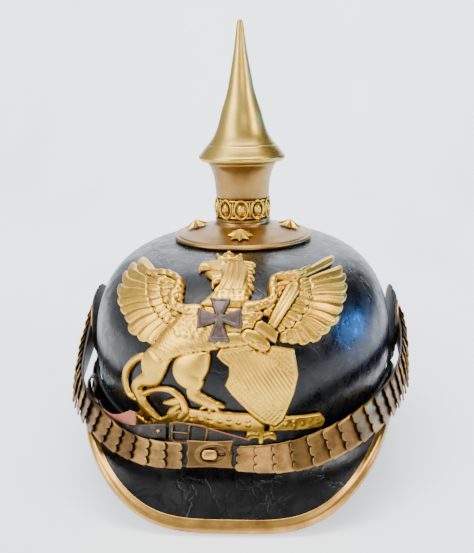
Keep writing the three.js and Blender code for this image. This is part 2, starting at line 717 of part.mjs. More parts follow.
function reserveCross() {
  const arm = [[2, 2], [5.2, CROSS_HALF], [-5.2, CROSS_HALF]];
  const outline = [0, 90, 180, 270].flatMap((turn) => {
    const angle = radians(turn);
    const [c, s] = [Math.cos(angle), Math.sin(angle)];
    return arm.map(([x, v]) => [x * c - v * s, x * s + v * c]);
  });
  const centre = platePoint(CROSS_CENTRE.x, CROSS_CENTRE.v, CROSS_LIFT);
  const right = platePoint(CROSS_CENTRE.x + 5, CROSS_CENTRE.v, CROSS_LIFT).sub(centre).normalize();
  const upward = platePoint(CROSS_CENTRE.x, CROSS_CENTRE.v + 5, CROSS_LIFT).sub(centre);
  upward.addScaledVector(right, -upward.dot(right)).normalize();
  const out = right.clone().cross(upward);
  const ring = (scale, lift) => outline.map(([x, v]) => centre.clone().addScaledVector(right, x * scale)
    .addScaledVector(upward, v * scale).addScaledVector(out, lift));
  const middle = (lift) => [centre.clone().addScaledVector(out, lift)];
  return skinRings([middle(1.2), ring(0.93, 1.2), ring(1, 0.8), ring(1, 0), middle(0)]);
}

addPart('reserve_cross', reserveCross(), greySilver());

// ---------------------------------------------------------------- cockades and rosettes
function sideDisc(outline, thickness) {
  const shape = new THREE.Shape(outline);
  const geometry = new THREE.ExtrudeGeometry(shape, { depth: thickness, bevelEnabled: false });
  return geometry.rotateY(Math.PI / 2);
}

function cockade() {
  const outline = spread(2 * COCKADE_TEETH + 1, 0, 2 * Math.PI).slice(0, -1).map((angle, i) => {
    const radius = COCKADE_RADIUS - (i % 2) * 0.9;
    return new THREE.Vector2(radius * Math.cos(angle), radius * Math.sin(angle));
  });
  return sideDisc(outline, COCKADE_THICK);
}

function rosette() {
  const domed = turned([[0, 0], [ROSETTE_RADIUS, 0], [ROSETTE_RADIUS, 0.5], [17.6, 1.1], [0, 1.1]], 32);
  return domed.rotateY(Math.PI / 2);
}

for (const { name, side } of [{ name: 'left', side: 1 }, { name: 'right', side: -1 }]) {
  const disc = addPart(`cockade_${name}`, cockade(), blackCloth());
  disc.position.set(side > 0 ? COCKADE_X : -COCKADE_X - COCKADE_THICK, 0, COCKADE_Z);
  const boss = addPart(`rosette_${name}`, rosette(), agedBrass());
  boss.position.set(side * ROSETTE_X, 0, COCKADE_Z + 2);
  if (side < 0) boss.rotation.z = Math.PI;
}

// ---------------------------------------------------------------- chin strap
// Route of each half of the strap: its middle line, half-width, and how far its face leans up.
// x is measured outward on the half's own side.
const STRAP_ROUTES = {
  left: [
    { x: 98.4, y: 5, z: 70, half: 8.5, lean: 0 },
    { x: 98.4, y: -4, z: 60.5, half: 10, lean: 0 },
    { x: 98.2, y: -20, z: 55.5, half: 9.8, lean: 0 },
    { x: 95.6, y: -46, z: 52.5, half: 9.2, lean: 6 },
    { x: 90.4, y: -70, z: 51, half: 8.6, lean: 12 },
    { x: 81.6, y: -92, z: 49.5, half: 8, lean: 17 },
    { x: 69.2, y: -109.5, z: 46.3, half: 7.7, lean: 20 },
    { x: 56, y: -120.5, z: 42.2, half: 7.6, lean: 20 },
    { x: 38.8, y: -128.5, z: 37.6, half: 7.6, lean: 20 },
    { x: 22.3, y: -132, z: 35.4, half: 6.8, lean: 20 },
    { x: 6, y: -133, z: 35.5, half: 5.9, lean: 20 },
    { x: -9.1, y: -133, z: 37.2, half: 5.9, lean: 20 },
  ],
  right: [
    { x: 98.4, y: 5, z: 70, half: 8.5, lean: 0 },
    { x: 98.4, y: -4, z: 59.5, half: 10, lean: 0 },
    { x: 98.2, y: -20, z: 52.5, half: 9.6, lean: 0 },
    { x: 95.6, y: -46, z: 47.5, half: 8.8, lean: 6 },
    { x: 91, y: -70, z: 46.5, half: 7.8, lean: 12 },
    { x: 82.6, y: -92.8, z: 46, half: 7.1, lean: 17 },
    { x: 69.8, y: -110.2, z: 42.4, half: 6.7, lean: 20 },
    { x: 56, y: -120.5, z: 37, half: 6.3, lean: 20 },
    { x: 38.8, y: -128.5, z: 35.2, half: 6.3, lean: 20 },
    { x: 22.3, y: -132, z: 36.3, half: 6.2, lean: 20 },
    { x: 10.9, y: -133, z: 37.4, half: 6, lean: 20 },
  ],
};

function makeRoute(rows, side) {
  const line = smoothLine(rows.map((p) => new THREE.Vector3(p.x * side, p.y, p.z)));
  const total = line.getLength();
  const between = (key, t) => {
    const place = t * (rows.length - 1);
    const i = Math.min(Math.floor(place), rows.length - 2);
    return rows[i][key] + (rows[i + 1][key] - rows[i][key]) * (place - i);
  };
  // A point at `distance` along, `across` in half-widths upwards, `lift` off the face.
  const at = (distance, across, lift) => {
    const t = line.getUtoTmapping(Math.min(Math.max(distance / total, 0), 1));
    const point = line.getPoint(t);
    const along = line.getTangent(t);
    const out = new THREE.Vector3(along.y, -along.x, 0).normalize();
    const fromMiddle = new THREE.Vector3(point.x, point.y - SKULL_CENTRE_Y, 0);
    if (out.dot(fromMiddle) < 0) out.negate();
    const lean = radians(between('lean', t));
    const face = out.multiplyScalar(Math.cos(lean)).setZ(Math.sin(lean));
    face.addScaledVector(along, -face.dot(along)).normalize();
    const edgeway = along.clone().cross(face).normalize();
    if (edgeway.z + edgeway.y * 0.5 < 0) edgeway.negate();
    return point.addScaledVector(edgeway, across * between('half', t)).addScaledVector(face, lift);
  };
  return { total, at };
}

function strapLeather(route, start, end, steps, thickness = LEATHER_THICK) {
  const sections = spread(steps, start, end).map((distance) => [
    route.at(distance, -0.9, 0), route.at(distance, -0.9, -thickness),
    route.at(distance, 0.9, -thickness), route.at(distance, 0.9, 0),
  ]);
  return skinStrip(sections);
}

// A closed plate from two matching grids of points, outer face first.
function skinPlate(outer, inner) {
  const rows = outer.length;
  const columns = outer[0].length;
  const border = (grid) => [
    ...grid[0],
    ...grid.slice(1, -1).map((row) => row[columns - 1]),
    ...grid[rows - 1].slice().reverse(),
    ...grid.slice(1, -1).map((row) => row[0]).reverse(),
  ];
  const points = [...outer.flat(), ...inner.flat()];
  const faces = [];
  const cell = (base, i, j) => base + i * columns + j;
  for (let i = 0; i < rows - 1; i += 1) {
    for (let j = 0; j < columns - 1; j += 1) {
      const [a, b, c, d] = [cell(0, i, j), cell(0, i, j + 1), cell(0, i + 1, j + 1), cell(0, i + 1, j)];
      faces.push([a, b, c], [a, c, d]);
      const under = rows * columns;
      faces.push([a + under, c + under, b + under], [a + under, d + under, c + under]);
    }
  }
  const indexOf = new Map(points.map((point, i) => [point, i]));
  const upper = border(outer).map((point) => indexOf.get(point));
  const lower = border(inner).map((point) => indexOf.get(point));
  for (let k = 0; k < upper.length; k += 1) {
    const n = (k + 1) % upper.length;
    faces.push([upper[n], upper[k], lower[k]], [upper[n], lower[k], lower[n]]);
  }
  return closedSkin(points, faces);
}

// Three-lobed free edge: how far each column of the scale reaches, as a share of its length.
const SCALE_COLUMNS = [
  { across: -1, reach: 0.88 },
  { across: -0.68, reach: 1 },
  { across: -0.34, reach: 0.87 },
  { across: 0, reach: 1 },
  { across: 0.34, reach: 0.87 },
  { across: 0.68, reach: 1 },
  { across: 1, reach: 0.88 },
];
const SCALE_ROOT_LIFT = GAP;
const SCALE_EDGE_LIFT = GAP + SCALE_THICK + GAP + 0.3;

// Two scales, one behind the other: the first one's free edge is a step down to the second.
function scalePair(route, start, pitch) {
  const length = pitch + SCALE_OVERLAP - 0.4;
  const stepLift = SCALE_ROOT_LIFT + (SCALE_EDGE_LIFT - SCALE_ROOT_LIFT) * (SCALE_OVERLAP / length);
  const rows = [
    { from: 0, reach: 0, over: SCALE_ROOT_LIFT, under: SCALE_ROOT_LIFT },
    { from: 0, reach: length, over: SCALE_EDGE_LIFT, under: SCALE_ROOT_LIFT },
    { from: 0.3, reach: length, over: stepLift, under: SCALE_ROOT_LIFT },
    { from: pitch, reach: length, over: SCALE_EDGE_LIFT, under: SCALE_EDGE_LIFT },
  ];
  const grid = (lift) => rows.map((row) => SCALE_COLUMNS.map(({ across, reach }) => (
    route.at(start + row.from + row.reach * reach, across, lift(row))
  )));
  return skinPlate(grid((row) => row.over + SCALE_THICK), grid((row) => row.under));
}

for (const { name, side } of [{ name: 'left', side: 1 }, { name: 'right', side: -1 }]) {
  const route = makeRoute(STRAP_ROUTES[name], side);
  addPart(`strap_${name}`, strapLeather(route, 0, route.total, 30), strapLeatherFinish());
  const count = SCALE_PAIRS[name];
  const pitch = (route.total - CLASP_HALF - 6) / (2 * count);
  for (let i = 0; i < count; i += 1) {
    const number = String(i + 1).padStart(2, '0');
    const start = 6 + 2 * pitch * i - SCALE_OVERLAP;
    addPart(`scales_${name}_${number}`, scalePair(route, start, pitch), scaleBronze());
  }
}

// Clasp where the two halves meet: a plate with a raised oval, and the knob that holds it.
const CLASP_Y = -133;
const CLASP_Z = 37.6;
const CLASP_LEAN = radians(20);
const CLASP_HALF_HEIGHT = 6;

function claspPlate() {
  const plate = new THREE.Shape();
  plate.moveTo(-CLASP_HALF + 1.5, -CLASP_HALF_HEIGHT);
  plate.lineTo(CLASP_HALF - 1.5, -CLASP_HALF_HEIGHT);
  plate.lineTo(CLASP_HALF - 0.2, 0);
  plate.lineTo(CLASP_HALF - 1.5, CLASP_HALF_HEIGHT);
  plate.lineTo(-CLASP_HALF + 1.5, CLASP_HALF_HEIGHT);
  plate.lineTo(-CLASP_HALF + 0.2, 0);
  plate.closePath();
  const flat = new THREE.ExtrudeGeometry(plate, { depth: 1, bevelEnabled: false });
  const oval = new THREE.Shape().absellipse(1.7, 0, 7.2, 4.3, 0, 2 * Math.PI);
  const raised = new THREE.ExtrudeGeometry(oval, { depth: 1, bevelEnabled: false, curveSegments: 12 });
  raised.translate(0, 0, 0.6);
  return joined([flat, raised]);
}

function claspKnob() {
  const knob = new THREE.CapsuleGeometry(2.2, 3, 4, 10).rotateZ(Math.PI / 2);
  return knob.scale(1, 1, 0.8);
}

function placeOnClasp(mesh, across, lift) {
  mesh.rotation.x = Math.PI / 2 - CLASP_LEAN;
  const out = new THREE.Vector3(0, -Math.cos(CLASP_LEAN), Math.sin(CLASP_LEAN)).multiplyScalar(lift);
  mesh.position.set(CLASP_X + across, CLASP_Y, CLASP_Z).add(out);
}

placeOnClasp(addPart('clasp_plate', claspPlate(), scaleBronze()), 0, GAP + 0.5);
placeOnClasp(addPart('clasp_knob', claspKnob(), agedBrass()), 0, GAP + 0.5 + 1.6 + GAP + 1.6);

// Adjusting tail: it leaves the wearer's right half, lies behind the scales' upper edge and ends past
// the clasp.
const TAIL_ROUTE = [
  { x: 75, y: -95, z: 47, half: 2.8, lean: 20 },
  { x: 69, y: -105, z: 43.6, half: 2.8, lean: 20 },
  { x: 62.2, y: -111.4, z: 42.4, half: 2.9, lean: 20 },
  { x: 55.2, y: -115.6, z: 41.8, half: 3.1, lean: 20 },
  { x: 46, y: -120.6, z: 43, half: 3.6, lean: 20 },
  { x: 35, y: -123.4, z: 44.4, half: 4, lean: 20 },
  { x: 22, y: -126.2, z: 45.2, half: 4.2, lean: 20 },
  { x: 12.5, y: -127.9, z: 44.8, half: 3.6, lean: 20 },
  { x: 2.8, y: -128, z: 43.2, half: 2.8, lean: 20 },
  { x: -9, y: -128.4, z: 41.4, half: 2.2, lean: 20 },
];
const BUCKLE_AT = 0.69;          // share of the tail's length
const BUCKLE_HALF = 8.7;
const BUCKLE_WIRE = 1.2;

const tailRoute = makeRoute(TAIL_ROUTE, -1);
addPart('strap_tail', strapLeather(tailRoute, 0, tailRoute.total, 16, 1), strapLeatherFinish());

// Rectangular frame round the tail, with its bars above and below the leather.
function buckleFrame() {
  const middle = tailRoute.total * BUCKLE_AT;
  const top = GAP + BUCKLE_WIRE;
  const at = (along, across, lift) => tailRoute.at(middle + along, across, lift);
  const bar = (across) => skinStrip([-BUCKLE_HALF, 0, BUCKLE_HALF].map((along) => [
    at(along, across - 0.12, GAP),
    at(along, across + 0.12, GAP),
    at(along, across + 0.12, top),
    at(along, across - 0.12, top),
  ]));
  const post = (along) => skinStrip([-0.66, 0.3, 1.32].map((across) => [
    at(along - BUCKLE_WIRE / 2, across, GAP),
    at(along + BUCKLE_WIRE / 2, across, GAP),
    at(along + BUCKLE_WIRE / 2, across, top),
    at(along - BUCKLE_WIRE / 2, across, top),
  ]));
  const end = BUCKLE_HALF - BUCKLE_WIRE / 2;
  return joined([bar(-0.52), bar(1.18), post(-end), post(0), post(end)]);
}

addPart('buckle_frame', buckleFrame(), agedBrass());

export default helmet;
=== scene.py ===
# %% [markdown]
# # A leather spiked helmet
# An officer's parade helmet: a hard black leather skull with two visors, a brass edge, a turned spike on a
# round base, a pressed griffin plate, and a chin strap covered with brass scales that is worn up over the
# front visor. The CAD model gives every place and size; this lesson makes the surfaces that are seen.
# Lengths are written in millimetres and turned to metres where a mesh is made.

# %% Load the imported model
import math

import bmesh
import bpy
import numpy as np
from mathutils import Matrix, Vector


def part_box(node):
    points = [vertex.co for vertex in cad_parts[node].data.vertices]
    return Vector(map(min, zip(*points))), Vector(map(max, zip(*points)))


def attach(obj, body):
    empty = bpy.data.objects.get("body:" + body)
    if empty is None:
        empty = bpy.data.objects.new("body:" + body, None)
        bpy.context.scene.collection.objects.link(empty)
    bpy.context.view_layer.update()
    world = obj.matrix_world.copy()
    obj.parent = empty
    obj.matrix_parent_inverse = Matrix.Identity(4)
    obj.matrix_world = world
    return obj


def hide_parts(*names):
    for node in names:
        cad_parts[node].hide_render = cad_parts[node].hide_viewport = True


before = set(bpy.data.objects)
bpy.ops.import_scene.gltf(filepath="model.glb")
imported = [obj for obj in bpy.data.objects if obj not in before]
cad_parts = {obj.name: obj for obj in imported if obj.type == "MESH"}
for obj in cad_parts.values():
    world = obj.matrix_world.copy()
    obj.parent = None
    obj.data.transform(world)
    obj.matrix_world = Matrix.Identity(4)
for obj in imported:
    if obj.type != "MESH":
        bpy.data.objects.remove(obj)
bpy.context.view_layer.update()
MM = 0.001


def measures(node):
    """The lowest and highest corner of a CAD node, in millimetres."""
    low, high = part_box(node)
    return np.array(low) / MM, np.array(high) / MM


skull_low, skull_high = measures("skull_shell")
HALF_WIDTH = skull_high[0]
HALF_LENGTH = (skull_high[1] - skull_low[1]) / 2
CENTRE_Y = (skull_high[1] + skull_low[1]) / 2
TOP_Z = skull_high[2]
print("skull", HALF_WIDTH * 2, "x", HALF_LENGTH * 2, "mm, top at", TOP_Z)

# %% [markdown]
# ## Camera
# The camera stands 450 mm in front of the spike's axis and looks a little down on the helmet, near enough
# to show the round of the crown. It comes first, so that every later step can be looked at.

# %% Camera
CAMERA_DISTANCE = 450.0
CAMERA_HEIGHT = 214.5
CAMERA_AZIMUTH = math.radians(3.355)
CAMERA_PITCH = math.radians(15.45)
CAMERA_ROLL = math.radians(-0.877)
CAMERA_LENS = 47.42
CAMERA_SHIFT = -0.01234         # share of the picture's width

camera_data = bpy.data.cameras.new("camera")
camera_data.lens = CAMERA_LENS
camera_data.sensor_width = 36
camera_data.shift_x = CAMERA_SHIFT
camera_data.clip_end = 20
camera = bpy.data.objects.new("camera", camera_data)
bpy.context.collection.objects.link(camera)
sin_a, cos_a = math.sin(CAMERA_AZIMUTH), math.cos(CAMERA_AZIMUTH)
sin_p, cos_p = math.sin(CAMERA_PITCH), math.cos(CAMERA_PITCH)
forward = Vector((-sin_a * cos_p, cos_a * cos_p, -sin_p))
level = Vector((cos_a, sin_a, 0))
upright = level.cross(forward)
right = level * math.cos(CAMERA_ROLL) + upright * math.sin(CAMERA_ROLL)
above = upright * math.cos(CAMERA_ROLL) - level * math.sin(CAMERA_ROLL)
turn = Matrix((right, above, -forward)).transposed().to_4x4()
place = Vector((CAMERA_DISTANCE * sin_a, -CAMERA_DISTANCE * cos_a, CAMERA_HEIGHT)) * MM
camera.matrix_world = Matrix.Translation(place) @ turn
bpy.context.scene.camera = camera
print("camera at", tuple(round(v, 3) for v in place))

# %% [markdown]
# ## Nodes and colours
# Every finish is a small tree of nodes. One function adds a node with its settings and its inputs; an
# input that is another node's output is linked. Four more make the nodes that come back in every finish.
# Colours are written as the hex values that a colour picker shows and are turned to the linear values that
# a shader works with.

# %% Node and colour helpers
def linear(hex_colour):
    """sRGB hex to linear red, green, blue and an alpha of 1."""
    values = [int(hex_colour[i:i + 2], 16) / 255 for i in (1, 3, 5)]
    return [v / 12.92 if v <= 0.04045 else ((v + 0.055) / 1.055) ** 2.4 for v in values] + [1.0]


def add(tree, kind, inputs=None, **settings):
    """Adds one node; inputs are values or sockets, by name or number."""
    node = tree.nodes.new(kind)
    for name, value in settings.items():
        setattr(node, name, value)
    for name, value in (inputs or {}).items():
        if isinstance(value, bpy.types.NodeSocket):
            tree.links.new(value, node.inputs[name])
        else:
            node.inputs[name].default_value = value
    return node
def noise(tree, place, size, detail=2.0, roughness=0.5, output="Fac"):
    """Clouds with lumps of about a size in millimetres."""
    return add(tree, "ShaderNodeTexNoise", {
        "Vector": place, "Scale": 1 / size, "Detail": detail, "Roughness": roughness}).outputs[output]


def spread(tree, value, low, high, first=0.0, last=1.0, kind="LINEAR"):
    """Turns values from low to high into values from first to last."""
    return add(tree, "ShaderNodeMapRange", {
        "Value": value, "From Min": low, "From Max": high, "To Min": first, "To Max": last},
        interpolation_type=kind).outputs[0]


def mixed(tree, share, first, last):
    """A mix of two colours, which are hex values or sockets."""
    first, last = (linear(colour) if isinstance(colour, str) else colour for colour in (first, last))
    return add(tree, "ShaderNodeMix", {"Factor": share, 6: first, 7: last}, data_type="RGBA").outputs[2]


def bumped(tree, height, strength, depth, under=None, invert=False):
    """Bump of a depth in millimetres, laid on the bump under it."""
    inputs = {"Height": height, "Strength": strength, "Distance": depth * MM}
    if under is not None:
        inputs["Normal"] = under
    return add(tree, "ShaderNodeBump", inputs, invert=invert).outputs[0]

def new_material(name, colour, metallic, roughness):
    """A material with its shader and a socket of object coordinates in millimetres."""
    material = bpy.data.materials.new(name)
    material.use_nodes = True
    tree = material.node_tree
    shader = tree.nodes["Principled BSDF"]
    shader.inputs["Base Color"].default_value = linear(colour)
    shader.inputs["Metallic"].default_value = metallic
    shader.inputs["Roughness"].default_value = roughness
    where = add(tree, "ShaderNodeTexCoord")
    scaled = add(tree, "ShaderNodeVectorMath", {0: where.outputs["Object"], 3: 1 / MM}, operation="SCALE")
    return material, tree, shader, scaled.outputs[0]


# %% [markdown]
# ## Lacquered leather
# The skull and visors are thick vegetable-tanned cowhide, boiled, blocked over a form and coated with many
# layers of black lacquer. With age the lacquer crazes into long cracks and the hide under it wrinkles. The
# cracks are the borders of bent cells, in two sizes, kept only in patches, and they are pressed into the
# surface as bump, so that they break up the reflections as the real ones do.

# %% Lacquered leather
# Millimetres from crack to crack, a crack's width, and the values of the clouds between which it fades in.
LONG_CRACKS = (26.0, 0.9, 0.43, 0.55)
FINE_CRACKS = (9.0, 0.7, 0.54, 0.66)
CRACK_BEND = 26.0
GRAIN = 1.1


def lacquered_leather():
    material, tree, shader, place = new_material("black_lacquered_cowhide", "#030304", 0, 0.3)
    shader.inputs["IOR"].default_value = 1.4          # old lacquer that has gone a little dull
    middle = add(tree, "ShaderNodeVectorMath", {
        0: noise(tree, place, 17, 4, output="Color"), 1: (0.5, 0.5, 0.5)}, operation="SUBTRACT")
    push = add(tree, "ShaderNodeVectorMath", {0: middle.outputs[0], 3: CRACK_BEND}, operation="SCALE")
    bent = add(tree, "ShaderNodeVectorMath", {0: place, 1: push.outputs[0]}, operation="ADD").outputs[0]
    patches = noise(tree, place, 34)
    heights = []
    for cell, width, low, high in (LONG_CRACKS, FINE_CRACKS):
        edges = add(tree, "ShaderNodeTexVoronoi", {"Vector": bent, "Scale": 1 / cell},
                    feature="DISTANCE_TO_EDGE")
        line = spread(tree, edges.outputs["Distance"], 0, width / cell, 1, 0, "SMOOTHSTEP")
        where = spread(tree, patches, low, high, kind="SMOOTHSTEP")
        heights.append(add(tree, "ShaderNodeMath", {0: line, 1: where}, operation="MULTIPLY").outputs[0])
    cracks = add(tree, "ShaderNodeMath", {0: heights[0], 1: heights[1]}, operation="MAXIMUM").outputs[0]
    wrinkles = noise(tree, bent, 6, 5, 0.6)
    grain = add(tree, "ShaderNodeTexVoronoi", {"Vector": place, "Scale": 1 / GRAIN}).outputs["Distance"]
    bump = bumped(tree, noise(tree, place, 22, 1), 1.0, 0.9)
    bump = bumped(tree, wrinkles, 0.4, 0.4, bump)
    bump = bumped(tree, grain, 0.25, 0.06, bump)
    bump = bumped(tree, cracks, 0.6, 0.18, bump, invert=True)
    tree.links.new(bump, shader.inputs["Normal"])
    tone = mixed(tree, patches, "#020203", "#060709")
    tree.links.new(mixed(tree, cracks, tone, "#020202"), shader.inputs["Base Color"])
    tree.links.new(spread(tree, wrinkles, 0.3, 0.7, 0.2, 0.42), shader.inputs["Roughness"])
    return material


LEATHER = lacquered_leather()

# %% [markdown]
# ## Brass finishes
# Several alloys meet on this helmet. The spike is turned yellow brass with a green cast, the base and neck
# are a redder tombac, the plate is pressed tombac with fire gilding, and the scales and the visor's edge
# are brass that has gone brown. All take the same few steps: a slow change from clean to tarnished metal,
# dirt and painted shade that darken the recesses, and fine scratches in the gloss. A lathe leaves rings as
# well.

# %% Brass finishes
TARNISH_CLOUDS = (0.42, 0.68)   # values between which clean metal turns to tarnished
CORNER_REACH = 2.2
LATHE_RING = 1.8
METAL_BUMP = 0.06


def brass(name, clean, tarnished, roughness, tarnish_size, recess_shade=0.0, dirt_and_shade="#3a2812", turned=0.0,
          tint=False):
    """A brass; the recess strength is how strongly corners are darkened by painted shade and dirt, turned is
    the strength of lathe rings.
    """
    material, tree, shader, place = new_material(name, clean, 1, roughness)
    share = spread(tree, noise(tree, place, tarnish_size, 5, 0.6), *TARNISH_CLOUDS)
    colour = mixed(tree, share, clean, tarnished)
    if tint:
        shade = add(tree, "ShaderNodeAttribute", attribute_name="tint")
        colour = mixed(tree, shade.outputs["Fac"], colour, dirt_and_shade)
    # painted shade: ambient occlusion darkens corners and recesses towards the dirt colour, which stands for
    # dirt there as well
    if recess_shade:
        corner = add(tree, "ShaderNodeAmbientOcclusion", {"Distance": CORNER_REACH * MM}, samples=8)
        colour = mixed(tree, spread(tree, corner.outputs["AO"], 0.25, 0.85, recess_shade, 0), colour, dirt_and_shade)
    tree.links.new(colour, shader.inputs["Base Color"])
    scratches = noise(tree, place, 1.6, 6, 0.7)
    gloss = spread(tree, scratches, 0.3, 0.7, roughness * 0.9, roughness * 1.15)
    tree.links.new(gloss, shader.inputs["Roughness"])
    bump = bumped(tree, noise(tree, place, 9), 0.4, METAL_BUMP)
    if turned:
        apart = add(tree, "ShaderNodeSeparateXYZ", {0: place})
        rings = add(tree, "ShaderNodeTexNoise", {
            "W": apart.outputs["Z"], "Scale": 1 / LATHE_RING, "Detail": 2.0}, noise_dimensions="1D")
        bump = bumped(tree, rings.outputs["Fac"], turned, METAL_BUMP, bump)
    tree.links.new(bump, shader.inputs["Normal"])
    return material


# each recess value is how strongly painted shade and dirt darken that metal's corners
SPIKE_BRASS = brass("turned_yellow_brass", "#d6b65a", "#bb9a48", 0.34, 30, turned=0.05)
TOMBAC = brass("satin_tombac", "#9f7c45", "#7f5d33", 0.33, 20, recess_shade=0.5, turned=0.1)
GILDING = brass("fire_gilt_tombac", "#f0c044", "#d0a03c", 0.34, 10, recess_shade=1.0, dirt_and_shade="#3a230a")
BUCKLE_BRASS = brass("dark_buckle_brass", "#7a6240", "#4c3b25", 0.38, 6, recess_shade=0.5)
BEADING_GILT = brass("gilt_beading", "#efc452", "#cf9f40", 0.28, 10, recess_shade=0.7, dirt_and_shade="#3a230a")
EDGE_BRASS = brass("worn_edge_brass", "#c4974c", "#946a34", 0.32, 14, recess_shade=0.5)
SCALE_BRASS = brass("browned_scale_brass", "#a9834a", "#735233", 0.36, 9, recess_shade=0.8, dirt_and_shade="#3b2b1e",
                    tint=True)
SILVER = brass("tarnished_silver", "#6f605a", "#4b3f3e", 0.4, 5, recess_shade=0.9, dirt_and_shade="#241c1f")
print("materials", len(bpy.data.materials))

# %% [markdown]
# ## Tools for modelling
# A few short helpers stand for what is done by hand again and again: clear the selection, draw half an
# outline and spin it, press a flat grid to a shape, and finish a piece. A finished piece sits at the origin
# with its place in its mesh, rides on a body of the CAD model and stands for the nodes that it covers.

# %% Modelling helpers
MERGE = 0.0005                  # points nearer than this are one point


def deselect():
    if bpy.context.mode != "OBJECT":
        bpy.ops.object.mode_set(mode="OBJECT")
    bpy.ops.object.select_all(action="DESELECT")


def named(name):
    """Names the primitive that was just added."""
    piece = bpy.context.object
    piece.name = name
    piece.data.name = name
    return piece


def points_of(piece):
    """A mesh's points in millimetres."""
    flat = np.empty(len(piece.data.vertices) * 3)
    piece.data.vertices.foreach_get("co", flat)
    return flat.reshape(-1, 3) / MM


def set_points(piece, points):
    piece.data.vertices.foreach_set("co", (np.asarray(points) * MM).ravel())
    piece.data.update()


def activate(piece):
    """Selects a piece alone and makes it the active one."""
    deselect()
    piece.select_set(True)
    bpy.context.view_layer.objects.active = piece


def edit_all(piece):
    """Opens a piece in edit mode with all of it selected."""
    activate(piece)
    bpy.ops.object.mode_set(mode="EDIT")
    bpy.ops.mesh.select_all(action="SELECT")


def apply_modifiers(piece):
    activate(piece)
    for modifier in list(piece.modifiers):
        bpy.ops.object.modifier_apply(modifier=modifier.name)


def rounded(piece, width, segments, angle):
    """Rounds the edges that are sharper than the angle."""
    bevel = piece.modifiers.new("round edges", "BEVEL")
    bevel.width = width * MM
    bevel.segments = segments
    bevel.limit_method = "ANGLE"
    bevel.angle_limit = math.radians(angle)
    apply_modifiers(piece)


def thickened(piece, wall, offset=-1.0):
    solid = piece.modifiers.new("wall", "SOLIDIFY")
    solid.thickness = wall * MM
    solid.offset = offset
    apply_modifiers(piece)


def finish(piece, material, nodes=(), body="helmet", smooth=35):
    """Applies the place, shades, paints and puts the piece on its body."""
    activate(piece)
    bpy.ops.object.transform_apply(location=True, rotation=True, scale=True)
    bpy.ops.object.shade_smooth_by_angle(angle=math.radians(smooth))
    piece.data.materials.clear()
    piece.data.materials.append(material)
    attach(piece, body)
    if nodes:
        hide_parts(*nodes)
    return piece


def report(piece):
    size = np.ptp(points_of(piece), axis=0)
    print(piece.name, len(piece.data.polygons), "faces,", np.round(size, 1), "mm")


def outward():
    """In edit mode: merges doubles and turns all faces outwards."""
    bpy.ops.mesh.select_all(action="SELECT")
    bpy.ops.mesh.remove_doubles(threshold=MERGE * MM)
    bpy.ops.mesh.normals_make_consistent(inside=False)


def sound(piece):
    """Turns a closed shell the right way out."""
    shell = bmesh.new()
    shell.from_mesh(piece.data)
    if shell.calc_volume(signed=True) < 0:
        piece.data.flip_normals()
    shell.free()


def tinted(piece, value):
    """Gives a whole piece one share of dirt."""
    tint = piece.data.attributes.new("tint", "FLOAT", "POINT")
    tint.data.foreach_set("value", np.full(len(piece.data.vertices), value))


def unit(vectors):
    """Vectors with their lengths brought to 1."""
    return vectors / np.linalg.norm(vectors, axis=-1, keepdims=True)


def between(at, stations, points):
    """Points between the given ones, at places that count from station to station."""
    return np.stack([np.interp(at, stations, points[:, k]) for k in range(3)], -1)


def about_axis(points, angle):
    """Points turned about the spike's axis."""
    x, y, z = points.T
    sin, cos = math.sin(angle), math.cos(angle)
    return np.stack([x * cos - y * sin, x * sin + y * cos, z], 1)


def spun(name, outline, steps):
    """Draws half an outline of radius and height point by point and spins it about the spike's axis."""
    deselect()
    radius, height = outline[0]
    bpy.ops.mesh.primitive_plane_add(size=MM, location=(radius * MM, 0, height * MM))
    piece = named(name)
    bpy.ops.object.mode_set(mode="EDIT")
    bpy.ops.mesh.merge(type="CENTER")
    for (r0, z0), (r1, z1) in zip(outline, outline[1:]):
        step = ((r1 - r0) * MM, 0, (z1 - z0) * MM)
        bpy.ops.mesh.extrude_region_move(TRANSFORM_OT_translate={"value": step})
    bpy.ops.mesh.select_all(action="SELECT")
    bpy.ops.mesh.spin(steps=steps, angle=math.tau, center=(0, 0, 0), axis=(0, 0, 1))
    outward()
    activate(piece)
    bpy.ops.object.transform_apply(location=True)
    return piece


def flowing(points, each):
    """Points of a smooth curve through the given ones."""
    points = np.array(points, float)
    ends = np.vstack([2 * points[0] - points[1], points, 2 * points[-1] - points[-2]])
    out = []
    for p0, p1, p2, p3 in zip(ends, ends[1:], ends[2:], ends[3:]):
        for t in np.arange(each) / each:
            out.append(0.5 * (2 * p1 + (p2 - p0) * t + (2 * p0 - 5 * p1 + 4 * p2 - p3) * t * t
                              + (3 * p1 - p0 - 3 * p2 + p3) * t ** 3))
    return [tuple(p) for p in out] + [tuple(points[-1])]


def flat_grid(name, columns, rows):
    """A flat grid, with each point's shares of its width and height."""
    deselect()
    bpy.ops.mesh.primitive_grid_add(x_subdivisions=int(columns), y_subdivisions=int(rows), size=MM)
    piece = named(name)
    flat = points_of(piece)
    return piece, flat[:, 0] + 0.5, flat[:, 1] + 0.5


def pressed_grid(name, columns, rows, shape):
    """A flat grid pressed to shape: shape(u, v) gives points in millimetres for shares from 0 to 1."""
    piece, u, v = flat_grid(name, columns, rows)
    set_points(piece, shape(u, v))
    return piece


def ball(name, segments, rings):
    """A ball 1 mm in radius at the origin."""
    deselect()
    bpy.ops.mesh.primitive_uv_sphere_add(segments=segments, ring_count=rings, radius=MM)
    return named(name)


# %% [markdown]
# ## The skull
# The real skull is blocked wet over a wooden form and trimmed along the rim, lower at the front and back
# than over the ears. Its section is a round-shouldered curve, the same in every direction, stretched
# lengthwise. So half of that curve is drawn and spun, the round shape is stretched to the oval, the lower
# rows are moved to the rim's line, and the wall gets its thickness towards the inside.

# %% Skull
WIDEST_Z = 61.0
RISE_POWER = 2.05
SHOULDER_POWER = 4.4
TUCK = 0.02
TUCK_DEPTH = 25.0
SKULL_WALL = 2.8
RIM_SIDE_Z = 40.0
RIM_DIP = 13.0
BACK = math.pi / 2


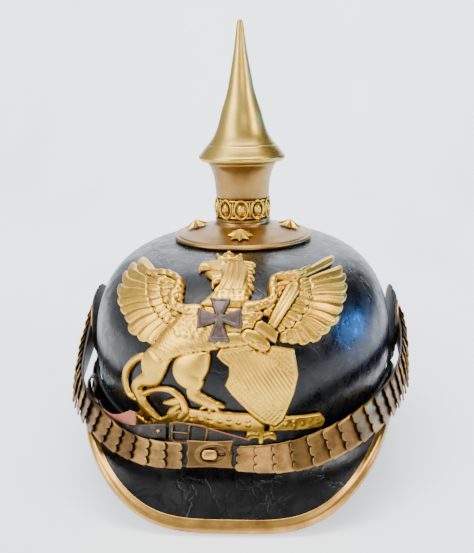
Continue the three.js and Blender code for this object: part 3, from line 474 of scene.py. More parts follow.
def skull_share(z):
    """Share of the full width and length at a height."""
    z = np.asarray(z, float)
    rise = np.clip((z - WIDEST_Z) / (TOP_Z - WIDEST_Z), 0, 1)
    lower = 1 - TUCK * ((WIDEST_Z - z) / TUCK_DEPTH) ** 2
    return np.where(z < WIDEST_Z, lower, (1 - rise ** RISE_POWER) ** (1 / SHOULDER_POWER))


def skull_point(angle, z, offset=0.0):
    """Points of the skull's face; angle 0 is the wearer's left and a quarter turn is the back."""
    share = skull_share(z)
    x, y = np.cos(angle), np.sin(angle)
    step = 0.05
    slope = (skull_share(np.minimum(z + step, TOP_Z)) - skull_share(z - step)) / (2 * step)
    normal = unit(np.stack(np.broadcast_arrays(x / HALF_WIDTH, y / HALF_LENGTH, -slope), -1))
    face = np.stack(np.broadcast_arrays(HALF_WIDTH * share * x, CENTRE_Y + HALF_LENGTH * share * y, z), -1)
    return face + normal * np.asarray(offset)[..., None]


def rim_height(angle):
    return RIM_SIDE_Z - RIM_DIP * np.sin(angle) ** 2


def make_skull():
    climbs = np.sin(np.linspace(BACK, 0, 46)) * (TOP_Z - WIDEST_Z) + WIDEST_Z
    heights = list(climbs) + list(np.linspace(WIDEST_Z, RIM_SIDE_Z, 12)[1:])
    outline = [(float(skull_share(z)) * HALF_WIDTH, z) for z in heights]
    skull = spun("skull_leather", outline, 168)
    edit_all(skull)
    bpy.ops.transform.resize(value=(1, HALF_LENGTH / HALF_WIDTH, 1), center_override=(0, 0, 0))
    bpy.ops.transform.translate(value=(0, CENTRE_Y * MM, 0))
    deselect()
    points = points_of(skull)
    angle = np.arctan2((points[:, 1] - CENTRE_Y) / HALF_LENGTH, points[:, 0] / HALF_WIDTH)
    low = points[:, 2] < WIDEST_Z - 0.01
    share = (WIDEST_Z - points[:, 2]) / (WIDEST_Z - RIM_SIDE_Z)
    lowered = WIDEST_Z - share * (WIDEST_Z - rim_height(angle))
    points[low] = skull_point(angle[low], lowered[low])
    set_points(skull, points)
    thickened(skull, SKULL_WALL)
    rounded(skull, 0.6, 2, 60)
    return finish(skull, LEATHER, ["skull_shell"], smooth=50)


report(make_skull())

# %% [markdown]
# ## The visors
# Each visor is one more piece of the same hide. It laps over the rim, where it is sewn, and leaves the
# skull in a curve to a squared oval edge. A flat grid is pressed to that form and given its thickness.

# %% Visors
GAP = 0.3
LAP = 5.0
SEAM = 0.2              # share of a visor's rows that lie on the lap
SEAM_RISE = 1.6
VISOR_WALL = 2.2
VISOR_LEAST = 0.6
VISOR_TURN = math.radians(87)
EDGE_CURVE = 0.42               # how far along its fall a visor bulges most
EDGE_CLIMB = 0.6                # and how much of that bulge is upward
FRONT_VISOR = {"reach": 144, "half": 86, "round": 3.5, "floor": 2.6, "rise": 38.7, "late": 5.8, "bulge": 3}
REAR_VISOR = {"reach": 145.4, "half": 88, "round": 3, "floor": 0.6, "rise": 40.7, "late": 4.2, "bulge": 4}


def visor_edge(shape, side, turn):
    """The leather's edge: square out from the wall to the squared oval."""
    angle = side * BACK + turn
    wall = skull_point(angle, np.full_like(turn, RIM_SIDE_Z), VISOR_WALL + GAP)
    away = unit(np.stack([np.cos(angle) / HALF_WIDTH, np.sin(angle) / HALF_LENGTH, 0 * angle], -1))
    near, far = np.full_like(turn, VISOR_LEAST), np.full_like(turn, shape["reach"])
    for _ in range(40):
        middle = (near + far) / 2
        at = wall + away * middle[:, None]
        inside = ((np.abs(at[:, 0]) / shape["half"]) ** shape["round"]
                  + (np.abs(at[:, 1]) / shape["reach"]) ** shape["round"]) < 1
        near, far = np.where(inside, middle, near), np.where(inside, far, middle)
    edge = wall + away * near[:, None]
    ahead = np.maximum(side * edge[:, 1], 0) / shape["reach"]
    edge[:, 2] = shape["floor"] + shape["rise"] * (1 - ahead ** shape["late"])
    return edge


def visor_point(shape, side, turn, down):
    """Outer face: down is 0 at the lap's top, SEAM at the rim and 1 at the edge."""
    angle = side * BACK + turn
    seam_z = rim_height(angle) + SEAM_RISE
    lap = skull_point(angle, seam_z + LAP * np.clip(1 - down / SEAM, 0, 1), GAP + VISOR_WALL)
    seam = skull_point(angle, seam_z, GAP + VISOR_WALL)
    edge = visor_edge(shape, side, turn)
    t = np.clip((down - SEAM) / (1 - SEAM), 0, 1)[:, None]
    away = unit(np.stack([np.cos(angle), np.sin(angle), np.full_like(angle, EDGE_CLIMB)], -1))
    middle = seam + (edge - seam) * EDGE_CURVE + away * (shape["bulge"] * np.cos(turn))[:, None]
    fall = seam * (1 - t) ** 2 + middle * 2 * t * (1 - t) + edge * t * t
    return np.where((down <= SEAM)[:, None], lap, fall)


def make_visor(name, node, shape, side):
    def form(u, v):
        return visor_point(shape, side, (2 * u - 1) * VISOR_TURN, v)

    visor = pressed_grid(name, 150, 30, form)
    edit_all(visor)
    bpy.ops.mesh.normals_make_consistent(inside=False)
    deselect()
    middle = visor.data.polygons[len(visor.data.polygons) // 2]
    if middle.normal.z < 0:
        visor.data.flip_normals()
    thickened(visor, VISOR_WALL)
    rounded(visor, 0.5, 2, 60)
    points = points_of(visor)
    points[:, 2] = np.maximum(points[:, 2], 0)
    set_points(visor, points)
    return finish(visor, LEATHER, [node], smooth=50)


report(make_visor("front_visor_leather", "front_visor", FRONT_VISOR, -1))
report(make_visor("rear_visor_leather", "rear_visor", REAR_VISOR, 1))

# %% [markdown]
# ## The visor's brass edge
# A strip of brass is folded round the front visor's edge. Its section is carried along the edge, station by
# station, turned each time so that it stays square to it. The two ends are closed.

# %% Brass edge
TRIM_TURN = math.radians(60)
TRIM_WIDTH = 6.5
TRIM_OUTLINE = [
    (-6.5, 0.45), (-6.5, 0.85), (-6.2, 1.15), (-5.7, 1.2), (-4.2, 1.3), (-2.6, 1.7), (-1.2, 1.75),
    (0.2, 1.45), (1.1, 0.85), (1.4, 0.1), (1.4, -2.3), (1.1, -3.0), (0.3, -3.4), (-4, -3.4), (-4, -2.65),
    (0.45, -2.65), (0.45, 0.45),
]
ON_SECTION = 0.002              # how near a point lies to a section that it belongs to


def swept(name, sections):
    """Carries a closed section along stations: sections is an array of stations by points."""
    stations, count = sections.shape[:2]
    piece, u, v = flat_grid(name, count, stations - 1)
    column = np.rint(u * count).astype(int) % count
    row = np.rint(v * (stations - 1)).astype(int)
    set_points(piece, sections[row, column])
    edit_all(piece)
    bpy.ops.mesh.remove_doubles(threshold=MERGE * MM)
    for end in (0, -1):
        bpy.ops.mesh.select_all(action="DESELECT")
        bpy.ops.object.mode_set(mode="OBJECT")
        for vertex, point in zip(piece.data.vertices, points_of(piece)):
            vertex.select = bool(np.abs(sections[end] - point).sum(1).min() < ON_SECTION)
        bpy.ops.object.mode_set(mode="EDIT")
        bpy.ops.mesh.edge_face_add()
    outward()
    deselect()
    return piece


def make_trim():
    turn = np.linspace(-TRIM_TURN, TRIM_TURN, 121)
    edge, seam, before = (
        visor_point(FRONT_VISOR, -1, turn, np.full_like(turn, down)) for down in (1, SEAM, 0.98))
    along = np.gradient(edge, axis=0)
    up = unit(np.cross(along, edge - before))
    up *= np.sign(up[:, 2:])
    out = unit(np.cross(along, up))
    out *= np.sign(((edge - seam) * out).sum(1))[:, None]
    free = np.linalg.norm(edge - seam, axis=1) - 1
    room = np.minimum(1, free / TRIM_WIDTH) * (0.5 + 0.3 * np.cos(turn * 2.2))      # narrower at its ends
    sections = np.stack([
        edge + out * (x * room if x < 0 else np.full_like(room, x))[:, None] + up * z
        for x, z in TRIM_OUTLINE], axis=1)
    sections[..., 2] = np.maximum(sections[..., 2], 0)
    trim = swept("visor_brass_edge", sections)
    return finish(trim, EDGE_BRASS, ["visor_trim"], smooth=50)


report(make_trim())

# %% [markdown]
# ## Base, neck and spike
# These three are spun or turned on a lathe, and so they are here: half of each outline is drawn and spun.
# Their corners are drawn a little round, because no brass edge that has been polished for a century is sharp.

# %% Turned brass
base_low, base_high = measures("spike_base")
neck_low, neck_high = measures("spike_neck")
BASE_Z, COLLAR_Z = base_low[2], base_high[2]
RING_Z, NECK_Z = neck_low[2], neck_high[2]
SPIKE_TOP = measures("spike")[1][2]
BASE_R = 43.0
RING_HEIGHT = 11.6
SOCKET_DEPTH = 13.8
FOOT_DEPTH = 13.5


def make_base():
    under = [(0, 127.6), (14.6, 127.6), (15.4, 125.4), (20, 123.2), (30, 120.6), (41.2, BASE_Z)]
    lip = [(BASE_R - 0.2, BASE_Z), (BASE_R + 0.25, BASE_Z + 0.5), (BASE_R + 0.3, BASE_Z + 1.2),
           (BASE_R, BASE_Z + 1.8), (42.5, BASE_Z + 2.1), (41.9, BASE_Z + 2.15), (41.4, BASE_Z + 1.9),
           (41.0, BASE_Z + 1.75), (40.6, BASE_Z + 1.95)]
    slope = flowing([(40.0, BASE_Z + 2.5), (35, 121.0), (30, 122.5), (25, 123.6), (21, 124.6), (18.4, 125.6),
                     (17.0, 126.9)], 5)
    collar = [(16.9, 127.8), (17.3, 128.4), (17.2, 129.2), (16.6, 129.7), (16.0, COLLAR_Z), (0, COLLAR_Z)]
    base = spun("spike_base_tombac", under + lip + slope + collar, 128)
    return finish(base, TOMBAC, ["spike_base"], smooth=40)


def make_neck():
    top = RING_Z + RING_HEIGHT + GAP
    foot = [(0, RING_Z), (13, RING_Z), (13, top), (16.0, top), (16.3, top + 0.4)]
    side = flowing([(16.4, top + 1.6), (16.7, 148.4), (17.1, 152), (17.7, 155), (18.4, 157.6), (19.3, 160),
                    (20.4, 162)], 5)
    rim = [(20.9, 162.9), (21.0, 163.5), (20.8, 163.9), (20.4, NECK_Z), (8, NECK_Z),
           (8, NECK_Z - SOCKET_DEPTH), (0, NECK_Z - SOCKET_DEPTH)]
    neck = spun("spike_neck_tombac", foot + side + rim, 112)
    return finish(neck, TOMBAC, ["spike_neck"], smooth=40)


def make_spike():
    foot = [(0, NECK_Z - FOOT_DEPTH), (7.7, NECK_Z - FOOT_DEPTH), (7.7, NECK_Z + GAP), (24.4, NECK_Z + GAP)]
    roll = [(25.2, 164.5), (26.0, 165.1), (26.45, 166.0), (26.5, 166.9), (26.2, 167.7), (25.6, 168.2),
            (25.3, 168.5)]
    first = flowing([(25.0, 168.9), (23.5, 171.0), (22.2, 172.6)], 4)
    lines = [(21.9, 172.95), (21.75, 172.95), (21.6, 173.2), (20.9, 174.0), (20.6, 174.15), (20.5, 174.45)]
    cone = flowing([(20.2, 174.9), (18.4, 177.1), (16.6, 179.9), (15.2, 183), (13.9, 187), (12.2, 193.2),
                    (10.3, 198.8), (8.5, 204.7), (7.2, 210.5), (6.1, 216.5), (5.0, 222.4), (4.0, 228.1),
                    (3.2, 233.8), (2.5, 239.2)], 4)
    tip = [(2.1, 242.4), (1.75, 244.6), (1.3, 245.7), (0.7, 246.2), (0, SPIKE_TOP)]
    spike = spun("spike_turned", foot + roll + first + lines + cone + tip, 112)
    return finish(spike, SPIKE_BRASS, ["spike"], body="spike", smooth=40)


for piece in (make_base(), make_neck(), make_spike()):
    report(piece)

# %% [markdown]
# ## Strap and scales
# The chin strap is a band of leather that hangs from two side bosses and is worn up over the front visor.
# Brass scales are riveted on it like roof tiles: each one covers the root of the next, so that the strap
# can bend. One scale is modelled flat, with its three lobes, and copied; each copy is bent round the strap
# at its own place.

# %% Route of the strap
LEAN_COLUMN = 4
STRAP_ROUTES = {
    # x, y, z, half-width, degrees that the face leans up
    "left": [
        (98.4, 5, 70, 8.5, 0), (98.4, -4, 60.5, 10, 0), (98.2, -20, 55.5, 9.8, 0), (95.6, -46, 52.5, 9.2, 6),
        (90.4, -70, 51, 8.6, 12), (81.6, -92, 49.5, 8, 17), (69.2, -109.5, 46.3, 7.7, 20),
        (56, -120.5, 42.2, 7.6, 20), (38.8, -128.5, 37.6, 7.6, 20), (22.3, -132, 35.4, 6.8, 20),
        (6, -133, 35.5, 5.9, 20), (-9.1, -133, 37.2, 5.9, 20),
    ],
    "right": [
        (98.4, 5, 70, 8.5, 0), (98.4, -4, 59.5, 10, 0), (98.2, -20, 52.5, 9.6, 0), (95.6, -46, 47.5, 8.8, 6),
        (91, -70, 46.5, 7.8, 12), (82.6, -92.8, 46, 7.1, 17), (69.8, -110.2, 42.4, 6.7, 20),
        (56, -120.5, 37, 6.3, 20), (38.8, -128.5, 35.2, 6.3, 20), (22.3, -132, 36.3, 6.2, 20),
        (10.9, -133, 37.4, 6, 20),
    ],
}
TAIL_ROUTE = [
    (75, -95, 47, 2.8, 20), (69, -105, 43.6, 2.8, 20), (62.2, -111.4, 42.4, 2.9, 20),
    (55.2, -115.6, 41.8, 3.1, 20), (46, -120.6, 43, 3.6, 20), (35, -123.4, 44.4, 4, 20),
    (22, -126.2, 45.2, 4.2, 20), (12.5, -127.9, 44.8, 3.6, 20), (2.8, -128, 43.2, 2.8, 20),
    (-9, -128.4, 41.4, 2.2, 20),
]


def through(points, samples=60):
    """A smooth line through points that doesn't swing out at uneven ones."""
    ends = np.vstack([2 * points[0] - points[1], points, 2 * points[-1] - points[-2]])
    line = []
    for p0, p1, p2, p3 in zip(ends, ends[1:], ends[2:], ends[3:]):
        d0, d1, d2 = (math.sqrt(np.linalg.norm(b - a)) for a, b in ((p0, p1), (p1, p2), (p2, p3)))
        t1 = ((p1 - p0) / d0 - (p2 - p0) / (d0 + d1) + (p2 - p1) / d1) * d1
        t2 = ((p2 - p1) / d1 - (p3 - p1) / (d1 + d2) + (p3 - p2) / d2) * d1
        t = np.arange(samples)[:, None] / samples
        bend = (3 * (p2 - p1) - 2 * t1 - t2) * t ** 2
        line.append(p1 + t1 * t + bend + (2 * (p1 - p2) + t1 + t2) * t ** 3)
    return np.vstack(line + [points[-1:]])


def strap_route(rows, side):
    """The route's length, and a function for points along, across in half-widths and lifted off it."""
    table = np.array(rows, float)
    line = through(table[:, :3] * (side, 1, 1))
    lengths = np.concatenate([[0], np.cumsum(np.linalg.norm(np.diff(line, axis=0), axis=1))])
    tangents = unit(np.gradient(line, axis=0))
    rows_at = np.linspace(0, len(table) - 1, len(line))
    half = np.interp(rows_at, np.arange(len(table)), table[:, 3])
    lean = np.radians(np.interp(rows_at, np.arange(len(table)), table[:, LEAN_COLUMN]))
    out = unit(np.stack([tangents[:, 1], -tangents[:, 0], 0 * lean], 1))
    away = (line - (0, CENTRE_Y, 0)) * (1, 1, 0)
    out *= np.sign((out * away).sum(1))[:, None]
    face = out * np.cos(lean)[:, None] + np.stack([0 * lean, 0 * lean, np.sin(lean)], 1)
    face -= tangents * (face * tangents).sum(1)[:, None]
    face = unit(face)
    edgeway = np.cross(tangents, face)
    edgeway *= np.sign(edgeway[:, 2] + edgeway[:, 1] * 0.5)[:, None]

    def at(distance, across, lift):
        width = np.interp(distance, lengths, half)
        return (between(distance, lengths, line)
                + between(distance, lengths, edgeway) * (np.asarray(across) * width)[..., None]
                + between(distance, lengths, face) * (np.asarray(lift) + 0 * width)[..., None])

    return lengths[-1], at

BAND_ROWS = 8
BAND_EDGE = 0.35


def band(name, at, low, high, wall, columns, half=0.9, offset=0.0):
    """A strip of leather along a route, with rounded edges."""
    def form(u, v):
        return at(low + (high - low) * u, (2 * v - 1) * half, offset - wall / 2)

    strip = pressed_grid(name, columns, BAND_ROWS, form)
    thickened(strip, wall, 0)
    rounded(strip, BAND_EDGE, 2, 60)
    sound(strip)
    return strip


# %% Strap leather
def strap_leather(name, colour, worn, roughness):
    """Greased strap leather: fine grain, soft creases across it and paler worn places."""
    material, tree, shader, place = new_material(name, colour, 0, roughness)
    share = spread(tree, noise(tree, place, 5, 5, 0.65), 0.5, 0.72, kind="SMOOTHSTEP")
    tone = mixed(tree, share, colour, worn)
    edge = add(tree, "ShaderNodeNewGeometry")
    rubbed = spread(tree, edge.outputs["Pointiness"], 0.52, 0.6, 0, 0.55)
    tree.links.new(mixed(tree, rubbed, tone, worn), shader.inputs["Base Color"])
    grain = add(tree, "ShaderNodeTexVoronoi", {"Vector": place, "Scale": 1 / 0.7}).outputs["Distance"]
    bump = bumped(tree, grain, 0.5, 0.1, bumped(tree, noise(tree, place, 2.4, 3), 0.6, 0.3))
    tree.links.new(bump, shader.inputs["Normal"])
    return material


BLACK_STRAP = strap_leather("black_strap_leather", "#15120f", "#4a3c33", 0.42)
RAW_STRAP = strap_leather("raw_russet_leather", "#a35b45", "#c07c60", 0.7)

SIDES = (("left", 1), ("right", -1))
ROUTES = {name: strap_route(STRAP_ROUTES[name], side) for name, side in SIDES}
for name, side in SIDES:
    total, at = ROUTES[name]
    strap = band("strap_leather_" + name, at, 0, total, 1.6, columns=160)
    report(finish(strap, BLACK_STRAP, ["strap_" + name], smooth=50))

# %% [markdown]
# A scale is cut from sheet with three round lobes, its edges are broken with a file, and each lobe is
# pressed a little hollow from behind. The free edge rides on the next scale, so the scale rises towards it.

# %% Scales
SCALE_COUNTS = {"left": 22, "right": 20}
SCALE_THICK = 0.8
SCALE_OVERLAP = 2.2
SCALE_START = 6                 # from the strap's upper end to the first scale
SCALE_SLACK = 0.4
CLASP_HALF = 11.5
SCALE_HALF = 8.5                # half-width of the flat pattern
LOBE_DEPTH = 2.0
ROOT_LIFT = 0.3
EDGE_LIFT = 1.7
PATTERN_LENGTH = 10.6


def scale_form(u, v):
    across = 2 * v - 1
    from_middle = np.abs((across * 3 + 1) % 2 - 1)                    # 0 on a lobe, 1 in a notch
    reach = PATTERN_LENGTH - LOBE_DEPTH * (1 - np.sqrt(1 - 0.97 * from_middle ** 2))
    crown = 0.5 * (1 - from_middle ** 2) * np.clip((u - 0.45) / 0.5, 0, 1) ** 1.5
    turned_down = 0.5 * np.clip((np.abs(across) - 0.86) / 0.14, 0, 1) ** 2
    lift = ROOT_LIFT + (EDGE_LIFT - ROOT_LIFT) * u + crown - turned_down
    return np.stack([reach * u, across * SCALE_HALF, lift], -1)


pattern = pressed_grid("scale_pattern", 14, 36, scale_form)
thickened(pattern, SCALE_THICK, 1)
rounded(pattern, 0.22, 1, 50)
sound(pattern)
flat_scale = points_of(pattern)
report(pattern)


def make_scale(side_name, number, chance):
    """A copy of the pattern, bent round the strap at its place."""
    total, at = ROUTES[side_name]
    pitch = (total - CLASP_HALF - SCALE_START) / SCALE_COUNTS[side_name]
    start = SCALE_START + pitch * (number - 1) - SCALE_OVERLAP
    length = pitch + SCALE_OVERLAP - SCALE_SLACK
    activate(pattern)
    bpy.ops.object.duplicate()
    scale = named(f"scale_plate_{side_name}_{number:02d}")
    share = flat_scale[:, 0] / PATTERN_LENGTH
    lift = flat_scale[:, 2] + share * chance.uniform(-0.1, 0.5)
    along = start + share * length + chance.uniform(-0.25, 0.25)
    across = flat_scale[:, 1] / SCALE_HALF + chance.uniform(-0.02, 0.02)
    set_points(scale, at(along, across, lift))
    sound(scale)
    tinted(scale, chance.uniform(0.0, 0.65))
    nodes = [f"scales_{side_name}_{(number + 1) // 2:02d}"] if number % 2 else []
    return finish(scale, SCALE_BRASS, nodes, smooth=40)


chance = np.random.default_rng(7)
for name, count in SCALE_COUNTS.items():
    for number in range(1, count + 1):
        make_scale(name, number, chance)
bpy.data.objects.remove(pattern)
print("scales", SCALE_COUNTS)

# %% [markdown]
# ## Clasp
# The two halves meet under a plate that is pressed up in an oval ring round a keyhole. The oblong knob of
# the other half comes through its wide end and is pushed along. The plate is a grid pressed to that form.

# %% Clasp
CLASP_AT = np.array([-10, -133, 37.6])
CLASP_LEAN = math.radians(20)
CLASP_OUT = np.array([0, -math.cos(CLASP_LEAN), math.sin(CLASP_LEAN)])
CLASP_UP = np.array([0, math.sin(CLASP_LEAN), math.cos(CLASP_LEAN)])
CLASP_HALF_HEIGHT = 6.0
CLASP_BEND = 240
CLASP_TINT = 0.6


def on_clasp(across, up, lift):
    """Points of the clasp's plane, which follows the strap's bend."""
    across, up, lift = np.broadcast_arrays(np.asarray(across, float), up, lift)
    bend = across ** 2 / CLASP_BEND
    return (CLASP_AT + np.stack([across, 0 * across, 0 * across], -1)
            + up[..., None] * CLASP_UP + (lift - bend)[..., None] * CLASP_OUT)


def clasp_form(u, v):
    across, up = (2 * u - 1), (2 * v - 1)
    waist = 1 - 0.06 * np.cos(across * math.pi / 2) ** 2
    x = across * (CLASP_HALF - 0.2 - 0.9 * np.abs(np.sin(up * math.pi)) ** 0.7)
    y = up * CLASP_HALF_HEIGHT * waist
    ring = np.hypot((x - 1.7) / 7.2, y / 4.3)
    height = 1.2 + 0.85 * np.exp(-((ring - 1) / 0.14) ** 2) - 0.35 * (ring < 0.9)
    slot = np.hypot(np.maximum(np.abs(x - 4.6) - 2.2, 0), y)
    height -= 1.0 * np.clip((1.25 - slot) / 0.3, 0, 1)
    eye = np.hypot(x / 4.3, y / 2.9)
    height -= 0.7 * np.clip((1.05 - eye) / 0.2, 0, 1)
    height -= 0.4 * np.clip((np.maximum(np.abs(across), np.abs(up)) - 0.94) / 0.06, 0, 1) ** 2
    return on_clasp(x, y, height)


clasp = pressed_grid("clasp_plate_brass", 110, 64, clasp_form)
thickened(clasp, 0.7, 1)
sound(clasp)
tinted(clasp, CLASP_TINT)
report(finish(clasp, SCALE_BRASS, ["clasp_plate"], smooth=45))

knob = ball("clasp_knob_brass", 32, 20)
points = points_of(knob)
stretch = np.sign(points[:, 0]) * np.minimum(np.abs(points[:, 0]) * 4, 1) * 1.9
set_points(knob, on_clasp(points[:, 0] * 1.9 + stretch, points[:, 1] * 2.4, points[:, 2] * 1.3 + 2.6))
sound(knob)
report(finish(knob, EDGE_BRASS, ["clasp_knob"], smooth=60))

# %% [markdown]
# ## Adjusting tail and buckle
# On the wearer's right a narrow strap passes through a buckle, so that the scales can be let out. It twists
# where it leaves the scales, so its raw russet underside shows for a short way, and its end is a small loop.

# %% Tail and buckle
tail_length, tail_at = strap_route(TAIL_ROUTE, -1)
BUCKLE_MIDDLE = tail_length * 0.69
TAIL_END = BUCKLE_MIDDLE - 12.5

tail = band("tail_face", tail_at, 2, TAIL_END, 1.0, columns=90)
report(finish(tail, BLACK_STRAP, ["strap_tail"], smooth=50))


def keeper_at(distance, across, lift):
    """The doubled strap past the buckle sinks to the scales' edge."""
    fall = np.clip((np.asarray(distance) - BUCKLE_MIDDLE) / (tail_length - BUCKLE_MIDDLE), 0, 1)
    point = tail_at(distance, across, lift)
    point[..., 2] -= 1.2 * fall ** 2
    return point


KEEPERS = (("keeper_outer", 0.1, 0.9, BLACK_STRAP), ("keeper_inner", -1.0, 1.06, RAW_STRAP))
for name, offset, half, leather in KEEPERS:
    strip = band(name, keeper_at, TAIL_END + 1.5, tail_length, 0.9, columns=60, half=half, offset=offset)
    report(finish(strip, leather, smooth=50))

UNDERSIDE_TOP = [(77, -90, 47), (69.5, -102, 46.4), (63, -109, 46.5), (57.7, -113.8, 48.8),
                 (51.4, -118, 52.7), (48.5, -119.8, 53)]
UNDERSIDE_FOOT = [(76, -91, 45.4), (68.7, -102.6, 44.4), (61, -111, 44.6), (56.4, -114.6, 44.8),
                  (50.8, -118.4, 45.4), (48.4, -119.9, 46.2)]


def underside_form(u, v):
    """The twisted part: it stands above the face and widens to a square end."""
    top, foot = (through(np.array(side, float) * (-1, 1, 1), 12) for side in (UNDERSIDE_TOP, UNDERSIDE_FOOT))
    upper, lower = (between(u * (len(top) - 1), np.arange(len(line)), line) for line in (top, foot))
    bow = np.sin(v * math.pi)[:, None] * (0.3, -1.0, 0.2)
    return lower + (upper - lower) * v[:, None] + bow


underside = pressed_grid("tail_underside", 60, 10, underside_form)
thickened(underside, 0.9, 0)
rounded(underside, 0.25, 2, 60)
sound(underside)
report(finish(underside, RAW_STRAP, smooth=50))

LOOP_CENTRE = np.array([-78.4, -89.5, 53.0])
LOOP_HALF_WIDTH = 2.4
LOOP_HALF_HEIGHT = 6.2


def loop_form(u, v):
    """A drop-shaped loop of leather, seen end on from the front."""
    angle = u * math.tau
    wide = np.sin(angle) * (0.62 - 0.38 * np.cos(angle))
    x = LOOP_CENTRE[0] + LOOP_HALF_WIDTH * wide * 1.25 + 1.4 * (1 - np.cos(angle)) / 2
    z = LOOP_CENTRE[2] + LOOP_HALF_HEIGHT * -np.cos(angle)
    y = LOOP_CENTRE[1] + (v - 0.5) * 5
    return np.stack([x, y, z], -1)


loop = pressed_grid("tail_loop", 64, 4, loop_form)
thickened(loop, 0.9, 0)
rounded(loop, 0.2, 1, 60)
sound(loop)
report(finish(loop, BLACK_STRAP, smooth=50))


def wire(name, at, corners, radius, closed=True):
    """A round wire bent along corners given as distance along, across and lift."""
    points = np.array([at(np.array(d), np.array(a), np.array(h)) for d, a, h in corners])
    curve = bpy.data.curves.new(name, "CURVE")
    curve.dimensions = "3D"
    curve.bevel_depth = radius * MM
    curve.bevel_resolution = 3
    spline = curve.splines.new("POLY")
    spline.points.add(len(points) - 1)
    for knot, point in zip(spline.points, points * MM):
        knot.co = (*point, 1)
    spline.use_cyclic_u = closed
    curve.use_fill_caps = True
    holder = bpy.data.objects.new(name, curve)
    bpy.context.collection.objects.link(holder)
    activate(holder)
    bpy.ops.object.convert(target="MESH")
    return named(name)


def join(pieces):
    deselect()
    for piece in pieces:
        piece.select_set(True)
    bpy.context.view_layer.objects.active = pieces[0]
    bpy.ops.object.join()
    return bpy.context.object


def rounded_corners(half_length, half_height):
    """A rectangle's outline with round corners; corner is a share of its halves."""
    corner, steps = 0.22, 5
    outline = []
    for sx, sy, start in ((1, 1, 0), (-1, 1, 1), (-1, -1, 2), (1, -1, 3)):
        for turn in (start + np.arange(steps + 1) / steps) * BACK:
            outline.append((half_length * (sx * (1 - corner) + corner * math.cos(turn)),
                            half_height * (sy * (1 - corner) + corner * math.sin(turn))))
    return outline


BUCKLE_LIFT = 0.95
frame_line = [(BUCKLE_MIDDLE + a, h, BUCKLE_LIFT) for a, h in rounded_corners(8.7, 1.18)]
buckle = join([
    wire("buckle", tail_at, frame_line, 0.62),
    wire("post", tail_at, [(BUCKLE_MIDDLE, side, BUCKLE_LIFT) for side in (-1.05, 1.05)], 0.5, False),
    wire("prong", tail_at, [(BUCKLE_MIDDLE + 0.2, 0, 1.3), (BUCKLE_MIDDLE - 4, 0, 1.5),
                            (BUCKLE_MIDDLE - 9.0, 0, 1.6)], 0.42, False),
])
buckle.name = "buckle_brass"
report(finish(buckle, BUCKLE_BRASS, ["buckle_frame"], smooth=60))

stud = ball("tail_stud", 16, 10)
points = points_of(stud)
set_points(stud, tail_at(TAIL_END - 4 + points[:, 0] * 1.2, points[:, 1] * 0.24, points[:, 2] * 0.8 + 0.2))
sound(stud)
report(finish(stud, EDGE_BRASS, smooth=60))

# %% [markdown]
# ## Star studs
# Four cast studs screw the base plate down. Each is a low eight-pointed star with a ridge to every point: a
# cone of sixteen sides with every second corner pulled in, which leans with the slope of the plate.

# %% Star studs
STUD_CIRCLE = 29.0
STUD_Z = 123.25
STUD_RADIUS = 8.2
STUD_HEIGHT = 4.4
STUD_LEAN = math.atan(0.25)
STUD_SINK = 0.25
STUD_TURNS = {"front": -90, "right": 180, "rear": 90, "left": 0}
NOTCH = 0.6


def make_stud(side, turn):
    deselect()
    bpy.ops.mesh.primitive_cone_add(vertices=16, radius1=STUD_RADIUS * MM, radius2=0, depth=STUD_HEIGHT * MM)
    stud = named(f"star_stud_{side}_tombac")
    points = points_of(stud)
    corner = np.rint(np.arctan2(points[:, 1], points[:, 0]) / (math.tau / 16)).astype(int)
    points[corner % 2 == 1, :2] *= NOTCH
    points[:, 2] += STUD_HEIGHT / 2
    set_points(stud, points)
    rounded(stud, 0.28, 2, 12)
    x, y, z = points_of(stud).T
    z = z + STUD_SINK
    sin, cos = math.sin(STUD_LEAN), math.cos(STUD_LEAN)
    leaning = np.stack([x * cos + z * sin + STUD_CIRCLE, y, z * cos - x * sin + STUD_Z], 1)
    set_points(stud, about_axis(leaning, math.radians(turn)))
    return finish(stud, GILDING, ["star_stud_" + side], smooth=20)


for side, turn in STUD_TURNS.items():
    make_stud(side, turn)
print("studs", len(STUD_TURNS))

# %% [markdown]
# ## Pearl ring
# A pressed ring of beading covers the joint of base and neck. It was stamped as a strip and bent round.
# The band with its two edges is spun; one oval pearl, its frame and one leaf are modelled and go round it.

# %% Pearl ring
PEARL_COUNT = 10
PEARL_R = 16.2
RING_MIDDLE = 135.9


def copied_round(piece, start):
    """Copies a piece ten times round the spike's axis and joins the copies."""
    shape = points_of(piece)
    copies = []
    for number in range(PEARL_COUNT):
        activate(piece)
        bpy.ops.object.duplicate()
        set_points(bpy.context.object, about_axis(shape, start + number * math.tau / PEARL_COUNT))
        copies.append(bpy.context.object)
    bpy.data.objects.remove(piece)
    return join(copies)


def oval(name, centre, halves, segments, rings):
    piece = ball(name, segments, rings)
    set_points(piece, points_of(piece) * halves + centre)
    return piece


